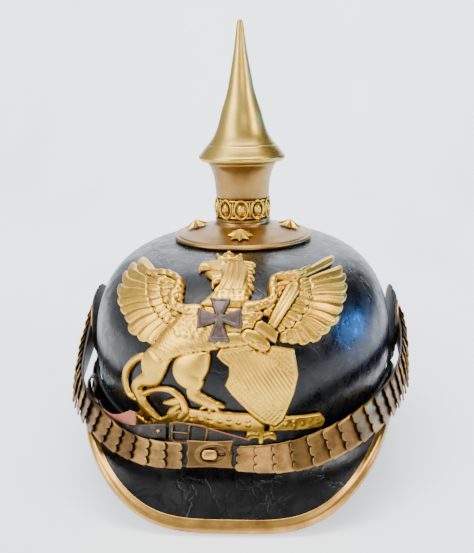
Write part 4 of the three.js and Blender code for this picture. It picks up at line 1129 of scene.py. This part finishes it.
ring = spun("pearl_ring_band", [
    (13.3, 130.1), (15.6, 130.1), (16.1, 130.5), (16.2, 131.0), (15.9, 131.6), (15.4, 132.0), (15.2, 132.6),
    (15.2, 139.2), (15.4, 139.8), (15.9, 140.2), (16.2, 140.8), (16.1, 141.3), (15.6, 141.7), (13.3, 141.7),
    (13.3, 130.1)], 120)
deselect()
bpy.ops.mesh.primitive_torus_add(
    major_radius=MM, minor_radius=0.14 * MM, major_segments=28, minor_segments=8)
frame_piece = named("pearl_frame")
hoop = points_of(frame_piece)
set_points(frame_piece, np.stack([
    hoop[:, 2] * 4.2 + PEARL_R + 0.2, hoop[:, 0] * 4.1, hoop[:, 1] * 5.6 + RING_MIDDLE], 1))
half_step = math.pi / PEARL_COUNT
leaf = oval("ring_leaf", (PEARL_R - 0.2, 0, RING_MIDDLE), (1.2, 0.8, 4.6), 12, 8)
pearl = oval("pearl", (PEARL_R, 0, RING_MIDDLE), (2.0, 2.5, 3.5), 20, 13)
rounds = [copied_round(piece, start) for piece, start in (
    (frame_piece, half_step), (pearl, half_step), (leaf, 0))]
ring = join([ring] + rounds)
ring.name = "pearl_ring_gilt"
report(finish(ring, BEADING_GILT, ["pearl_ring"], smooth=45))

# %% [markdown]
# ## Cockades and side bosses
# Under each boss lies a toothed cockade of dark painted leather with a pressed ring. The boss is a brass disc
# with raised rings. Both are spun upright and then laid on the helmet's side.

# %% Cockades and bosses
COCKADE_X = 93.2
COCKADE_THICK = 1.8
COCKADE_Z = 60.0
COCKADE_TEETH = 24
BOSS_X = COCKADE_X + COCKADE_THICK + GAP
BOSS_Z = 62.0


def laid_on_side(piece, side, out, height):
    """Turns a piece that was spun upright so that it faces outwards on a side."""
    points = points_of(piece)
    set_points(piece, np.stack([side * (out + points[:, 2]), points[:, 0], points[:, 1] + height], 1))
    sound(piece)


PAINT = brass("black_cockade_paint", "#15130f", "#27201a", 0.5, 8)
PAINT.node_tree.nodes["Principled BSDF"].inputs["Metallic"].default_value = 0
for name, side in SIDES:
    disc = spun("cockade_painted_" + name, [
        (0, 0), (24.2, 0), (24.6, 0.5), (24.2, 1.2), (23.4, 1.5), (21.6, 1.3), (21.0, 0.9), (20.4, 1.3),
        (17, 1.8), (0, 1.8)], 144)
    points = points_of(disc)
    far = np.hypot(points[:, 0], points[:, 1]) > 22
    teeth = 1 - 0.018 * (1 - np.cos(COCKADE_TEETH * np.arctan2(points[:, 1], points[:, 0])))
    points[far, :2] *= teeth[far, None]
    set_points(disc, points)
    laid_on_side(disc, side, COCKADE_X, COCKADE_Z)
    finish(disc, PAINT, ["cockade_" + name], smooth=40)
    boss = spun("side_boss_" + name, [
        (0, 0), (18.7, 0), (19.0, 0.4), (18.8, 0.9), (18.3, 1.1), (17.7, 0.95), (17.2, 0.7), (16.6, 0.8),
        (15.0, 1.05), (14.4, 0.85), (13.8, 1.1), (5.0, 1.1), (0, 1.1)], 96)
    laid_on_side(boss, side, BOSS_X, BOSS_Z)
    finish(boss, EDGE_BRASS, ["rosette_" + name], smooth=40)
print("cockades and bosses 4")

# %% [markdown]
# ## Rear spine
# A strip of half-round brass runs down the back seam from the base plate to the rear visor. Its line is
# walked down the skull and over the visor, and a narrow grid is pressed along it.

# %% Rear spine
SPINE_HALF = 4.5
SPINE_LIFT = 0.6
BRIDGE_LIFT = 1.6               # extra lift where the spine steps over the visor's lap
SPINE_THICK = 1.1


def spine_line():
    """Points of the back seam's line and its outward directions."""
    heights = np.concatenate([np.linspace(115.8, 108, 24), np.linspace(106, 42, 33)])
    on_skull = skull_point(np.full_like(heights, BACK), heights, np.full_like(heights, SPINE_LIFT))
    bridge = skull_point(np.array([BACK]), np.array([36.5]), np.array([SPINE_LIFT + BRIDGE_LIFT]))
    downs = np.linspace(0.12, 0.94, 16)
    on_visor = visor_point(REAR_VISOR, 1, np.zeros_like(downs), downs)
    line = np.vstack([on_skull, bridge, on_visor])
    way = np.gradient(line, axis=0)
    out = unit(np.stack([0 * way[:, 0], -way[:, 2], way[:, 1]], 1))
    out *= np.sign(out[:, 1] + out[:, 2])[:, None]
    line[len(on_skull) + 1:] += out[len(on_skull) + 1:] * SPINE_LIFT
    return line, out


spine_points, spine_out = spine_line()


def spine_form(u, v):
    place, count = u * (len(spine_points) - 1), np.arange(len(spine_points))
    line, out = (between(place, count, points) for points in (spine_points, spine_out))
    across = 2 * v - 1
    crown = SPINE_THICK * (0.5 + 0.5 * np.sqrt(np.clip(1 - across ** 2, 0, 1)))
    return line + out * crown[:, None] + (across * SPINE_HALF)[:, None] * np.array([1, 0, 0])


spine = pressed_grid("rear_spine_brass", 150, 10, spine_form)
thickened(spine, 0.5, 1)
sound(spine)
report(finish(spine, EDGE_BRASS, ["rear_spine"], smooth=50))

# %% [markdown]
# ## Front plate
# The griffin was struck from sheet tombac in a die, cut out along its outline and gilded. Here the die is
# written down as numbers: limbs with a middle line and half-widths, and patches with an outline, in
# millimetres across and up the plate. They are laid over one another in order on a flat grid. The grid is
# cut along the outline, wrapped on the front of the skull and given the thickness of the sheet.

# %% Relief tools
PLATE_FOOT_Z = 36.0
PLATE_LIFT = 1.0
heights = np.linspace(30, TOP_Z, 4000)
front_y = CENTRE_Y - HALF_LENGTH * skull_share(heights)
arc = np.concatenate([[0], np.cumsum(np.hypot(np.diff(heights), np.diff(front_y)))])
arc -= np.interp(PLATE_FOOT_Z, heights, arc)


def plate_base(x, v):
    z = np.interp(v, arc, heights)
    depth = np.sqrt(np.maximum(skull_share(z) ** 2 - (x / HALF_WIDTH) ** 2, 0.02))
    return np.stack([x, CENTRE_Y - HALF_LENGTH * depth, z], -1)


def plate_point(x, v, lift):
    step = 0.6
    across = plate_base(x + step, v) - plate_base(x - step, v)
    upward = plate_base(x, v + step) - plate_base(x, v - step)
    out = unit(np.cross(across, upward))
    return plate_base(x, v) + out * (PLATE_LIFT + lift)[:, None]


OUTSIDE = -9.0                  # depth of a point that no form reaches
GROOVE = 0.9                    # width and depth of the groove round a form that lies over others
SHEET_EDGE = 0.15               # height of the sheet at its cut edge
EDGE_ROUND = 0.9


class Die:
    """A flat grid of heights, and how far each point lies inside the outline."""

    def __init__(self, low, high, cell):
        self.low, self.cell = np.array(low, float), cell
        self.count = np.rint((np.array(high) - low) / cell).astype(int)
        across, up = (self.low[k] + np.arange(self.count[k] + 1) * cell for k in (0, 1))
        self.x, self.v = (a.ravel() for a in np.meshgrid(across, up))
        self.inside = np.full(len(self.x), OUTSIDE)
        self.height = np.zeros(len(self.x))

    def near(self, points, margin):
        low, high = points.min(0) - margin, points.max(0) + margin
        return np.flatnonzero((self.x > low[0]) & (self.x < high[0]) & (self.v > low[1]) & (self.v < high[1]))

    def lay(self, index, depth, height, over):
        """Lays a form down: over replaces what is there, inside a groove, else the higher form stays."""
        if over:
            close = (depth <= 0) & (depth > -GROOVE) & (self.inside[index] > 0)
            self.height[index[close]] -= GROOVE * (1 + depth[close] / GROOVE)
        self.inside[index] = np.maximum(self.inside[index], depth)
        within = depth > 0
        spot = index[within]
        self.height[spot] = height[within] if over else np.maximum(self.height[spot], height[within])

    def limb(self, rows, level, crown, over=False, rib=0.0, barbs=0.0, cover=True):
        """Rounded form along a middle line of rows of x, v and half-width."""
        line = through(np.array(rows, float), 7)
        index = self.near(line[:, :2], line[:, 2].max() + 1.5)
        x, v = self.x[index], self.v[index]
        best = np.full(len(index), OUTSIDE)
        share, side = np.zeros(len(index)), np.zeros(len(index))
        for number, (a, b) in enumerate(zip(line, line[1:])):
            way = b[:2] - a[:2]
            long = max(way @ way, 1e-6)
            t = np.clip(((x - a[0]) * way[0] + (v - a[1]) * way[1]) / long, 0, 1)
            dx, dv = x - a[0] - way[0] * t, v - a[1] - way[1] * t
            away = np.hypot(dx, dv)
            half = a[2] + (b[2] - a[2]) * t
            closer = half - away > best
            best = np.where(closer, half - away, best)
            share = np.where(closer, (number + t) / (len(line) - 1), share)
            side = np.where(closer, away / np.maximum(half, 0.1), side)
        rise = level + crown * np.sqrt(np.clip(1 - side ** 2, 0, 1))
        if rib:
            rise += rib * np.exp(-(side / 0.16) ** 2)
        if barbs:
            length = np.linalg.norm(np.diff(line[:, :2], axis=0), axis=1).sum()
            rise += barbs * np.cos((share * length + side * 1.6) * math.tau / 1.9) * (side > 0.2)
        self.lay(index, best if cover else best + OUTSIDE, rise, over)
        if not cover:
            spot = index[best > 0]
            self.height[spot] = np.maximum(self.height[spot], rise[best > 0])

    def patch(self, outline, level, crown, width, over=False, texture=None):
        """A flat form with rounded borders; texture adds height from x, v and depth."""
        corners = np.array(outline, float)
        index = self.near(corners, 1.5)
        x, v = self.x[index], self.v[index]
        away = np.full(len(index), 99.0)
        odd = np.zeros(len(index), bool)
        for a, b in zip(corners, np.roll(corners, -1, axis=0)):
            way = b - a
            t = np.clip(((x - a[0]) * way[0] + (v - a[1]) * way[1]) / (way @ way), 0, 1)
            away = np.minimum(away, np.hypot(x - a[0] - way[0] * t, v - a[1] - way[1] * t))
            crosses = (a[1] > v) != (b[1] > v)
            odd ^= crosses & (x < a[0] + (v - a[1]) * way[0] / (way[1] if way[1] else 1))
        depth = np.where(odd, away, -away)
        part = np.clip(depth / width, 0, 1)
        rise = level + crown * np.sqrt(1 - (1 - part) ** 2)
        if texture:
            rise += texture(x, v, depth)
        self.lay(index, depth, rise, over)

    def bumps(self, centres, radius, height):
        """Small round bosses on what is there already."""
        for centre in centres:
            index = self.near(np.array([centre], float), radius)
            away = np.hypot(self.x[index] - centre[0], self.v[index] - centre[1]) / radius
            self.height[index] += height * np.sqrt(np.clip(1 - away ** 2, 0, 1))

    def struck(self, name, lift, wall):
        """The grid cut along the outline, wrapped on the skull and thickened."""
        columns, rows = self.count
        piece, u, v = flat_grid(name, columns, rows)
        order = np.rint(v * rows).astype(int) * (columns + 1) + np.rint(u * columns).astype(int)
        inside = self.inside.reshape(rows + 1, columns + 1)
        slope_v, slope_x = np.gradient(inside, self.cell)
        depth, x, v = self.inside[order], self.x[order], self.v[order]
        steep = np.stack([slope_x.ravel()[order], slope_v.ravel()[order]], 1)
        steep /= np.maximum(np.linalg.norm(steep, axis=1, keepdims=True), 0.3)
        shift = np.where(depth < 0, np.minimum(-depth, self.cell), 0)
        x, v = x + steep[:, 0] * shift, v + steep[:, 1] * shift
        height = self.height[order]
        fall = np.clip(np.maximum(depth, 0) / EDGE_ROUND, 0, 1)
        rise = (height - SHEET_EDGE) * np.sqrt(1 - (1 - fall) ** 2)
        height = np.where(depth > 0, SHEET_EDGE + rise, SHEET_EDGE)
        set_points(piece, plate_point(x, v, lift + height))
        sheet = bmesh.new()
        sheet.from_mesh(piece.data)
        sheet.verts.ensure_lookup_table()
        outside = [face for face in sheet.faces if max(depth[vert.index] for vert in face.verts) <= 0]
        bmesh.ops.delete(sheet, geom=outside, context="FACES")
        sheet.to_mesh(piece.data)
        sheet.free()
        thickened(piece, wall, -1)
        sound(piece)
        return piece


# %% Griffin
griffin = Die((-70, -3), (61, 131), 0.45)
limb, patch, bumps = griffin.limb, griffin.patch, griffin.bumps
BARBS = 0.07

# Ribbon along the foot, behind the legs and the shield.
patch([
    (-56, 7.5), (-50, 8.5), (-44, 6.5), (-36, 11), (-29, 16.5), (-22, 19.5), (-8, 20), (11, 18.5),
    (15.5, 15.5), (14.5, 8), (11, 8.2), (-5, 9.6), (-22, 9.8), (-32, 6.5), (-40, 1), (-46, -1.5),
    (-53, -1.5),
], 1.0, 0.7, 1.2)
patch([
    (19, 14), (26, 15), (36, 13.5), (43.5, 12.5), (46, 8), (45, 4), (36, 5), (27, 6.5), (18, 8)],
    1.0, 0.7, 1.2)
limb([(14, 12, 2.0), (14, 5, 1.7), (14, 2, 1.6)], 1.0, 0.8)
LOBES = ([(14, 5, 1.2), (10, 6.5, 2.3), (7.5, 4.5, 1.6)], [(14, 4, 1.2), (18, 5.5, 2.3), (20.5, 3.5, 1.6)])
for lobe in LOBES:
    limb(lobe, 1.0, 0.8)

# Long feathers of both wings, the lowest first.
LEFT_LONG = [
    ((-29, 60), (-34, 53)), ((-31, 61), (-38, 51)), ((-34, 61), (-43, 49)), ((-36, 62), (-48, 49)),
    ((-38, 64), (-54, 51)), ((-40, 67), (-57, 56)), ((-41, 69), (-61, 59)), ((-41, 72), (-64, 62)),
    ((-41, 75), (-66, 67)), ((-41, 79), (-65, 75)), ((-41, 81), (-62.5, 82)), ((-41, 83), (-57, 91)),
]
RIGHT_LONG = [
    ((26, 60), (26, 52)), ((28, 60), (31, 51)), ((30, 61), (37, 50)), ((31, 63), (43, 50.5)),
    ((32, 65), (48, 53.5)), ((33, 68), (53, 57)), ((33, 71), (55.5, 62)), ((33, 74), (58, 67)),
    ((33, 77), (59, 72)), ((33, 80), (59, 78)), ((33, 83), (57.5, 84)),
]


def feather(root, tip, half, level):
    """A feather that bows a little upwards, widest before its round tip."""
    (x0, v0), (x1, v1) = root, tip
    long = math.hypot(x1 - x0, v1 - v0)
    bow = 0.05 * long
    middle = ((x0 + x1) / 2, (v0 + v1) / 2 + bow)
    back = min(half * 0.85, long * 0.4) / long
    near_tip = (x1 + (x0 - x1) * back, v1 + (v0 - v1) * back)
    rows = [(x0, v0, min(half, 2.6) * 0.8), (*middle, half * 0.85), (*near_tip, half * 0.95)]
    limb(rows, level, 0.9, True, rib=0.35, barbs=BARBS)


def fan(feathers, level):
    """A row of feathers, each as wide as the space to its neighbours' tips."""
    tips = np.array([tip for root, tip in feathers], float)
    apart = np.linalg.norm(np.diff(tips, axis=0), axis=1)
    wide = (np.concatenate([apart[:1], apart]) + np.concatenate([apart, apart[-1:]])) / 4
    for (root, tip), half in zip(feathers, wide):
        feather(root, tip, max(half * 1.12, 2.2), level)


fan(LEFT_LONG, 0.5)
fan(RIGHT_LONG, 0.5)
limb([(28, 87, 2.4), (38, 90.5, 3.0), (47, 93.5, 3.6), (51, 93.5, 3.0)], 0.9, 1.1, True, rib=0.35)

# Two rows of covert feathers lie over their roots.
LEFT_COVERTS = [
    [((-24, 63), (-27, 58.5)), ((-26, 65), (-30.5, 59.5)), ((-28, 67), (-34, 61)), ((-29, 69), (-37, 63)),
     ((-30, 71), (-40, 65.5)), ((-31, 73), (-43, 68.5)), ((-31, 76), (-45, 72.5)), ((-31, 79), (-46, 77)),
     ((-31, 82), (-47, 81.5)), ((-31, 84), (-47, 86))],
    [((-25, 67), (-30, 66)), ((-26, 70), (-33, 69)), ((-27, 73), (-35.5, 72)), ((-27, 76), (-37.5, 76)),
     ((-27, 80), (-38.5, 80)), ((-27, 83), (-39, 84))],
]
RIGHT_COVERTS = [
    [((20, 64), (25, 58)), ((21, 66), (30, 60)), ((22, 68), (34, 63)), ((23, 71), (37, 66.5)),
     ((23, 74), (38.5, 70.5)), ((23, 77), (39, 75)), ((23, 80), (39, 79.5)), ((23, 83), (38, 84))],
    [((17, 68), (24, 65)), ((18, 71), (28, 69)), ((19, 74), (30, 72.5)), ((19, 77), (30.5, 76.5)),
     ((19, 80), (30.5, 80.5)), ((19, 83), (29.5, 84))],
]
for coverts in (LEFT_COVERTS, RIGHT_COVERTS):
    for number, row in enumerate(coverts):
        fan(row, 1.1 + 0.6 * number)

# Tail, hind legs, trunk, chest and neck.
limb([
    (-41, 42, 1.5), (-46, 41, 1.7), (-51, 37, 1.7), (-55.5, 30, 1.7), (-56.5, 23, 1.7), (-54.5, 18, 1.6),
    (-50, 17, 1.5), (-44, 22.5, 1.5), (-37.5, 26.5, 1.6), (-29.5, 27.5, 1.7), (-24.5, 23.5, 1.8),
    (-23, 18, 2.0), (-26, 13, 1.4),
], 0.8, 1.2, True)
limb([(-24, 24, 1.2), (-29, 21.5, 2.2), (-33.5, 20.5, 0.8)], 0.9, 1.0)
limb([(-26, 20, 1.2), (-30, 15, 2.4), (-30, 9.5, 1.0)], 0.9, 1.0)
limb([
    (-31, 49, 4.5), (-36, 43.5, 6.0), (-39, 38, 6.6), (-40, 32.5, 4.8), (-46, 28.5, 3.0), (-49, 24, 2.8),
    (-47, 19, 2.4), (-44.5, 14.5, 2.7), (-42, 12, 3.2),
], 1.0, 2.0, True)
limb([
    (-15, 46, 5.5), (-18, 42, 7.6), (-21, 38, 7.6), (-18, 34, 5.0), (-18.5, 30.5, 3.0), (-18, 27.5, 3.4),
    (-13, 25, 2.8), (-9, 23, 2.9),
], 1.0, 2.0, True)
CLAWS = (((-43, 12), [(-49, 9), (-44.5, 7.5), (-40, 8), (-37, 10.5)]),
         ((-9, 23), [(-14.5, 21), (-10.5, 19.5), (-6, 20), (-3.5, 22.5)]))
for (x, v), toes in CLAWS:
    for toe in toes:
        limb([(x, v, 1.9), ((x + toe[0]) / 2, (v + toe[1]) / 2 + 0.6, 1.6), (*toe, 0.9)], 1.2, 1.4)


def fur(x, v, depth):
    """Short tufts; every texture is given the depth too."""
    return 0.12 * np.sin((x * 0.8 + v * 0.9) * math.tau / 2.4) * np.sin((x - v * 0.4) * math.tau / 5.0)


patch([
    (-16, 71), (-23, 69), (-30, 60), (-36, 52), (-41, 46), (-33, 41), (-22, 47), (-11, 49), (-5, 50),
    (8, 52), (13, 56), (13, 62), (16, 67), (9, 74), (7, 78), (-10, 78),
], 1.1, 1.9, 6.0, True, fur)
patch([
    (4, 108), (0, 111), (-6, 111), (-11, 109), (-16, 107), (-19, 103.5), (-20, 99), (-19, 96.5),
    (-17.5, 99.5), (-14.5, 100.2), (-8, 97), (-7, 92), (-7, 84), (-12, 77), (-17, 71), (7, 70), (9, 80),
    (8, 89), (7, 100),
], 1.2, 2.2, 4.5, True)
patch([(-8, 98), (-13, 96.6), (-15.8, 95.8), (-13.5, 92.5), (-11, 90), (-8, 90.5), (-5, 94)], 1.0, 1.3, 2.0)
limb([(-7, 91, 1.4), (-10.2, 88, 1.3), (-10.4, 84, 0.7)], 1.0, 1.0)
for number in range(8):
    height = 106 - 3.6 * number
    limb([(4, height + 2, 1.2), (7.4, height + 0.6, 1.5), (10 - (number % 2), height - 1.2, 0.7)], 1.4, 1.2)
LOCKS = ([(-3, 103), (-4, 96), (-4.5, 89), (-8, 80)], [(-1, 105), (-1, 97), (-2, 88), (-4.5, 79)],
         [(1.5, 105), (2, 97), (1.5, 88), (-0.5, 79)], [(4, 105), (5.2, 97), (5, 88), (3.5, 79)])
for lock in LOCKS:
    limb([(x, v, 1.25) for x, v in lock], 2.9, 0.9, cover=False)

# Breast feathers in rows, eye, nostril and the crown.
for number in range(3):
    height = 73.5 + number * 2.7
    reach = 5.5 + 5 * max(0, (80 - height) / 10)
    row = [(x + 1.2 * (number % 2), height) for x in np.arange(-reach, reach, 2.9)]
    bumps(row, 1.6, 0.5)
bumps([(-6.5, 103.5)], 2.2, 0.5)
bumps([(-6.5, 103.5)], 1.1, 0.7)
bumps([(-14.5, 103.5)], 0.9, -0.6)
limb([(-8, 108, 1.0), (-4.5, 106, 1.2), (-1.5, 103, 0.8)], 3.1, 0.7, cover=False)
limb([(-9.5, 112, 1.5), (-4, 112.3, 1.7), (2, 113.8, 1.5)], 1.6, 1.3, True)
patch([
    (-9.5, 112), (-12.5, 118.5), (-10.5, 120), (-8.5, 117.5), (-8, 122), (-6.2, 124.5), (-5.8, 128.5),
    (-4, 128.7), (-3.6, 124.7), (-1.8, 122.4), (-1.4, 118.2), (1.2, 121.4), (3.6, 119.8), (2.2, 113.5)],
    1.2, 0.9, 1.5)
bumps([(-11, 119), (2.2, 120.3), (-4.9, 123.5), (-4.7, 117), (-8, 113), (-4, 113.4), (0.6, 114)], 1.2, 0.7)

# Shoulders of the wings run into the chest.
limb([
    (-47, 85.5, 1.5), (-41, 87.5, 1.9), (-33, 88.5, 2.3), (-28.5, 86, 2.5), (-28, 80, 2.4),
    (-30, 74.5, 2.3), (-29, 70, 2.4), (-24, 68.5, 2.6), (-17, 68.5, 3.4),
], 1.8, 1.8, True)
limb([
    (34, 90, 1.6), (27, 89.5, 2.1), (21, 89.5, 2.4), (19.5, 84, 2.4), (20, 78, 2.3), (19, 74, 2.5),
    (13, 71.5, 3.0), (8, 71, 3.2),
], 1.8, 1.8, True)
bumps([
    (-38, 88), (-34, 88.6), (-30, 87.2), (-28, 83.6), (-28.2, 79.6), (-29.6, 75.8), (-29, 71.6),
    (-25.6, 68.8), (-21.6, 68.4),
], 1.9, 0.6)
bumps([
    (31, 90), (27.4, 89.8), (23.6, 89.8), (20.4, 87.4), (19.6, 83.6), (20, 79.6), (19.6, 75.8), (16.4, 73),
    (12.4, 71.6),
], 1.9, 0.6)
CURLS = ([(-44, 85, 0.8), (-40, 83.5, 1.6), (-36, 85, 1.0)],
         [(31, 88, 0.8), (35, 91.5, 1.6), (39, 92.5, 0.8)])
for curl in CURLS:
    limb(curl, 2.0, 1.3)
SHOULDER_SCALES = [(-27 + 3.4 * i + 1.7 * (j % 2), 64.5 - 2.9 * j) for j in range(4) for i in range(5)]
bumps([spot for spot in SHOULDER_SCALES if spot[0] < -12], 1.9, 0.55)
bumps([(7.5 + 3.4 * i + 1.7 * (j % 2), 67 - 2.9 * j) for j in range(3) for i in range(3)], 1.9, 0.5)

# Forearm and the shield with its bend.
limb([(-4, 54, 3.6), (2, 54.5, 4.0), (9, 54.5, 3.4)], 1.6, 1.9, True)


SHIELD_RIM = 2.3


def shield_field(x, v, depth):
    """A raised border, a hatched bend and dots beside it."""
    border = 0.7 * np.clip((SHIELD_RIM - depth) / 0.5, 0, 1)
    bend = (x + v < 63.5) & (v > 38 - (x + 1) * 0.74)
    hatch = 0.32 * np.cos((v + 1.6 * x) * math.tau / 3.2)
    dots = 0.5 * np.clip(np.cos(x * math.tau / 2.7) * np.cos(v * math.tau / 2.7) * 2, 0, 1)
    return border + np.where(depth > SHIELD_RIM, np.where(bend, 0.35 + hatch, dots), 0)


patch([
    (-7, 47), (-5, 50.5), (8, 52), (20, 51.5), (30, 48.5), (31, 43), (32, 36), (30, 27), (27, 19),
    (25, 14), (21, 10.5), (15, 13), (7, 21), (0, 29), (-3, 33.5), (-1, 38), (-1, 42), (-4, 44)],
    1.4, 0.8, 3.0, True, shield_field)
bumps([(11, 48.6), (14.5, 48.9), (25, 47)], 1.0, 0.6)

# Sword in the fist.
patch([(15.8, 59), (20.3, 58), (32.6, 76), (33, 86), (26.5, 81.5)], 2.9, 0.9, 1.8, True)
limb([(18.5, 60.5, 0.6), (25, 71, 0.7), (30, 80, 0.4)], 3.2, 0.1, True)
patch([(12, 62.5), (14.5, 63.5), (22.5, 57), (21, 51.5), (18, 53), (10.5, 58.5)], 3.2, 0.9, 1.6, True)
limb([(8, 56.5, 3.0), (11.5, 54.5, 3.6), (15.5, 51.5, 3.0)], 2.6, 1.6, True)
bumps([(9.5, 51.8), (12.2, 51), (14.8, 49.8)], 1.5, 0.8)

# Signs on the ribbon stand for its lettering: single dots and pairs of dots that spell nothing.
SIGNS = [
    (-19, 15), (-14.5, 15), (-10, 15), (-5.5, 15), (-1, 15), (3.5, 14.6), (8, 14.2), (26, 11), (30, 10.4),
    (34, 9.8), (38, 9.3), (42, 8.8),
]
for number, (x, v) in enumerate(SIGNS):
    bumps([(x, v)] if number % 2 else [(x, v + 1.3), (x, v - 1.3)], 1.2, 0.6)

plate = griffin.struck("griffin_gilt", 0.0, 0.6)
report(finish(plate, GILDING, ["griffin_plate"], smooth=60))

# %% [markdown]
# The cross is a piece of its own, cast in white metal and pinned on the breast: four arms that widen
# outwards, with a raised rim. It is struck on a finer grid.

# %% Cross
CROSS_AT = np.array([-5.4, 64.0])
CROSS_ARM = [(-5.2, 10.4), (5.2, 10.4), (2, 2)]
CROSS_LIFT = 4.1
cross = Die(CROSS_AT - 12, CROSS_AT + 12, 0.2)


def cross_rim(x, v, depth):
    return 0.45 * np.clip((1.5 - depth) / 0.3, 0, 1) - 0.1


outline = []
for turn in range(4):
    cos, sin = round(math.cos(turn * BACK)), round(math.sin(turn * BACK))
    outline += [(CROSS_AT[0] + x * cos + v * sin, CROSS_AT[1] - x * sin + v * cos) for x, v in CROSS_ARM]
cross.patch(outline, 0.0, 0.7, 0.9, True, cross_rim)
white_metal = cross.struck("cross_silver", CROSS_LIFT - PLATE_LIFT + 0.6, 0.9)
report(finish(white_metal, SILVER, ["reserve_cross"], smooth=45))

# %% [markdown]
# ## Floor and light
# The helmet stands on pale cloth in soft light.

# %% Floor and light
def pale_cloth():
    material, tree, shader, place = new_material("pale_cloth", "#e8eaee", 0, 0.9)
    slanted = add(tree, "ShaderNodeMapping", {
        "Vector": place, "Rotation": (0.0, 0.5, 0.0), "Scale": (1.0, 0.3, 0.25)})
    tone = mixed(tree, noise(tree, slanted.outputs[0], 160), "#cfdde8", "#ffffff")
    tree.links.new(tone, shader.inputs["Base Color"])
    tree.links.new(tone, shader.inputs["Emission Color"])
    shader.inputs["Emission Strength"].default_value = 0.95      # the cloth is lit through from behind
    return material


CLOTH = pale_cloth()
deselect()
bpy.ops.mesh.primitive_grid_add(x_subdivisions=2, y_subdivisions=60, size=1)
floor = named("floor_cloth")
FLOOR_HALF = 1.6                # metres, as are the next four
FLOOR_FRONT = 1.6
FLOOR_LENGTH = 4.2
CURVE_START = 0.75
CURVE_RADIUS = 0.6


def sweep_floor(u, v):
    """Flat under the helmet, then up behind it in a wide curve."""
    path = v * FLOOR_LENGTH - FLOOR_FRONT
    arc = np.clip((path - CURVE_START) / CURVE_RADIUS, 0, BACK)
    past = np.maximum(path - CURVE_START - CURVE_RADIUS * BACK, 0)
    y = np.minimum(path, CURVE_START) + CURVE_RADIUS * np.sin(arc)
    z = CURVE_RADIUS * (1 - np.cos(arc)) + past
    half = FLOOR_HALF - 0.85 * np.clip((path - 0.3) / 0.6, 0, 1)
    return np.stack([(u - 0.5) * 2 * half, y, z], -1) / MM


flat = points_of(floor) * MM
set_points(floor, sweep_floor(flat[:, 0] + 0.5, flat[:, 1] + 0.5))
floor.data.materials.append(CLOTH)


def softbox(name, place, aim, size, power, colour):
    light = bpy.data.lights.new(name, "AREA")
    light.shape = "RECTANGLE"
    light.size, light.size_y = size
    light.energy = power
    light.color = linear(colour)[:3]
    holder = bpy.data.objects.new(name, light)
    holder.location = place
    holder.rotation_euler = (Vector(aim) - Vector(place)).to_track_quat("-Z", "Y").to_euler()
    bpy.context.collection.objects.link(holder)


softbox("window_left", (-1.1, -0.8, 0.9), (0, 0, 0.1), (0.9, 1.2), 22, "#fffdf8")
softbox("window_right", (1.1, 0.25, 0.22), (0, 0, 0.08), (0.2, 0.28), 9, "#3f97ff")
softbox("fill_front", (0.5, -1.5, 0.5), (0, 0, 0.1), (0.8, 0.7), 9, "#fff3e0")
softbox("lamp_right", (1.05, -0.35, 0.7), (0, 0, 0.1), (0.35, 0.35), 7, "#ffe9c8")
softbox("overhead", (-0.2, 0.2, 1.5), (0, 0.2, 0), (1.4, 1.2), 9, "#ffffff")
softbox("backdrop_light", (0, 0.1, 1.7), (0, 1.3, 0.6), (1.6, 0.8), 45, "#ffffff")


def room_light():
    """A dim room that is brighter on the left and above, as beside a window."""
    world = bpy.data.worlds.new("room")
    bpy.context.scene.world = world
    world.use_nodes = True
    tree = world.node_tree
    way = add(tree, "ShaderNodeTexCoord")
    side = add(tree, "ShaderNodeVectorMath", {0: way.outputs["Generated"], 1: (-0.85, -0.25, 0.46)},
               operation="DOT_PRODUCT")
    share = spread(tree, side.outputs["Value"], -0.35, 0.9, 0.1, 0.8, "SMOOTHSTEP")
    back = tree.nodes["Background"]
    back.inputs["Color"].default_value = linear("#eef1f6")
    tree.links.new(share, back.inputs["Strength"])


room_light()
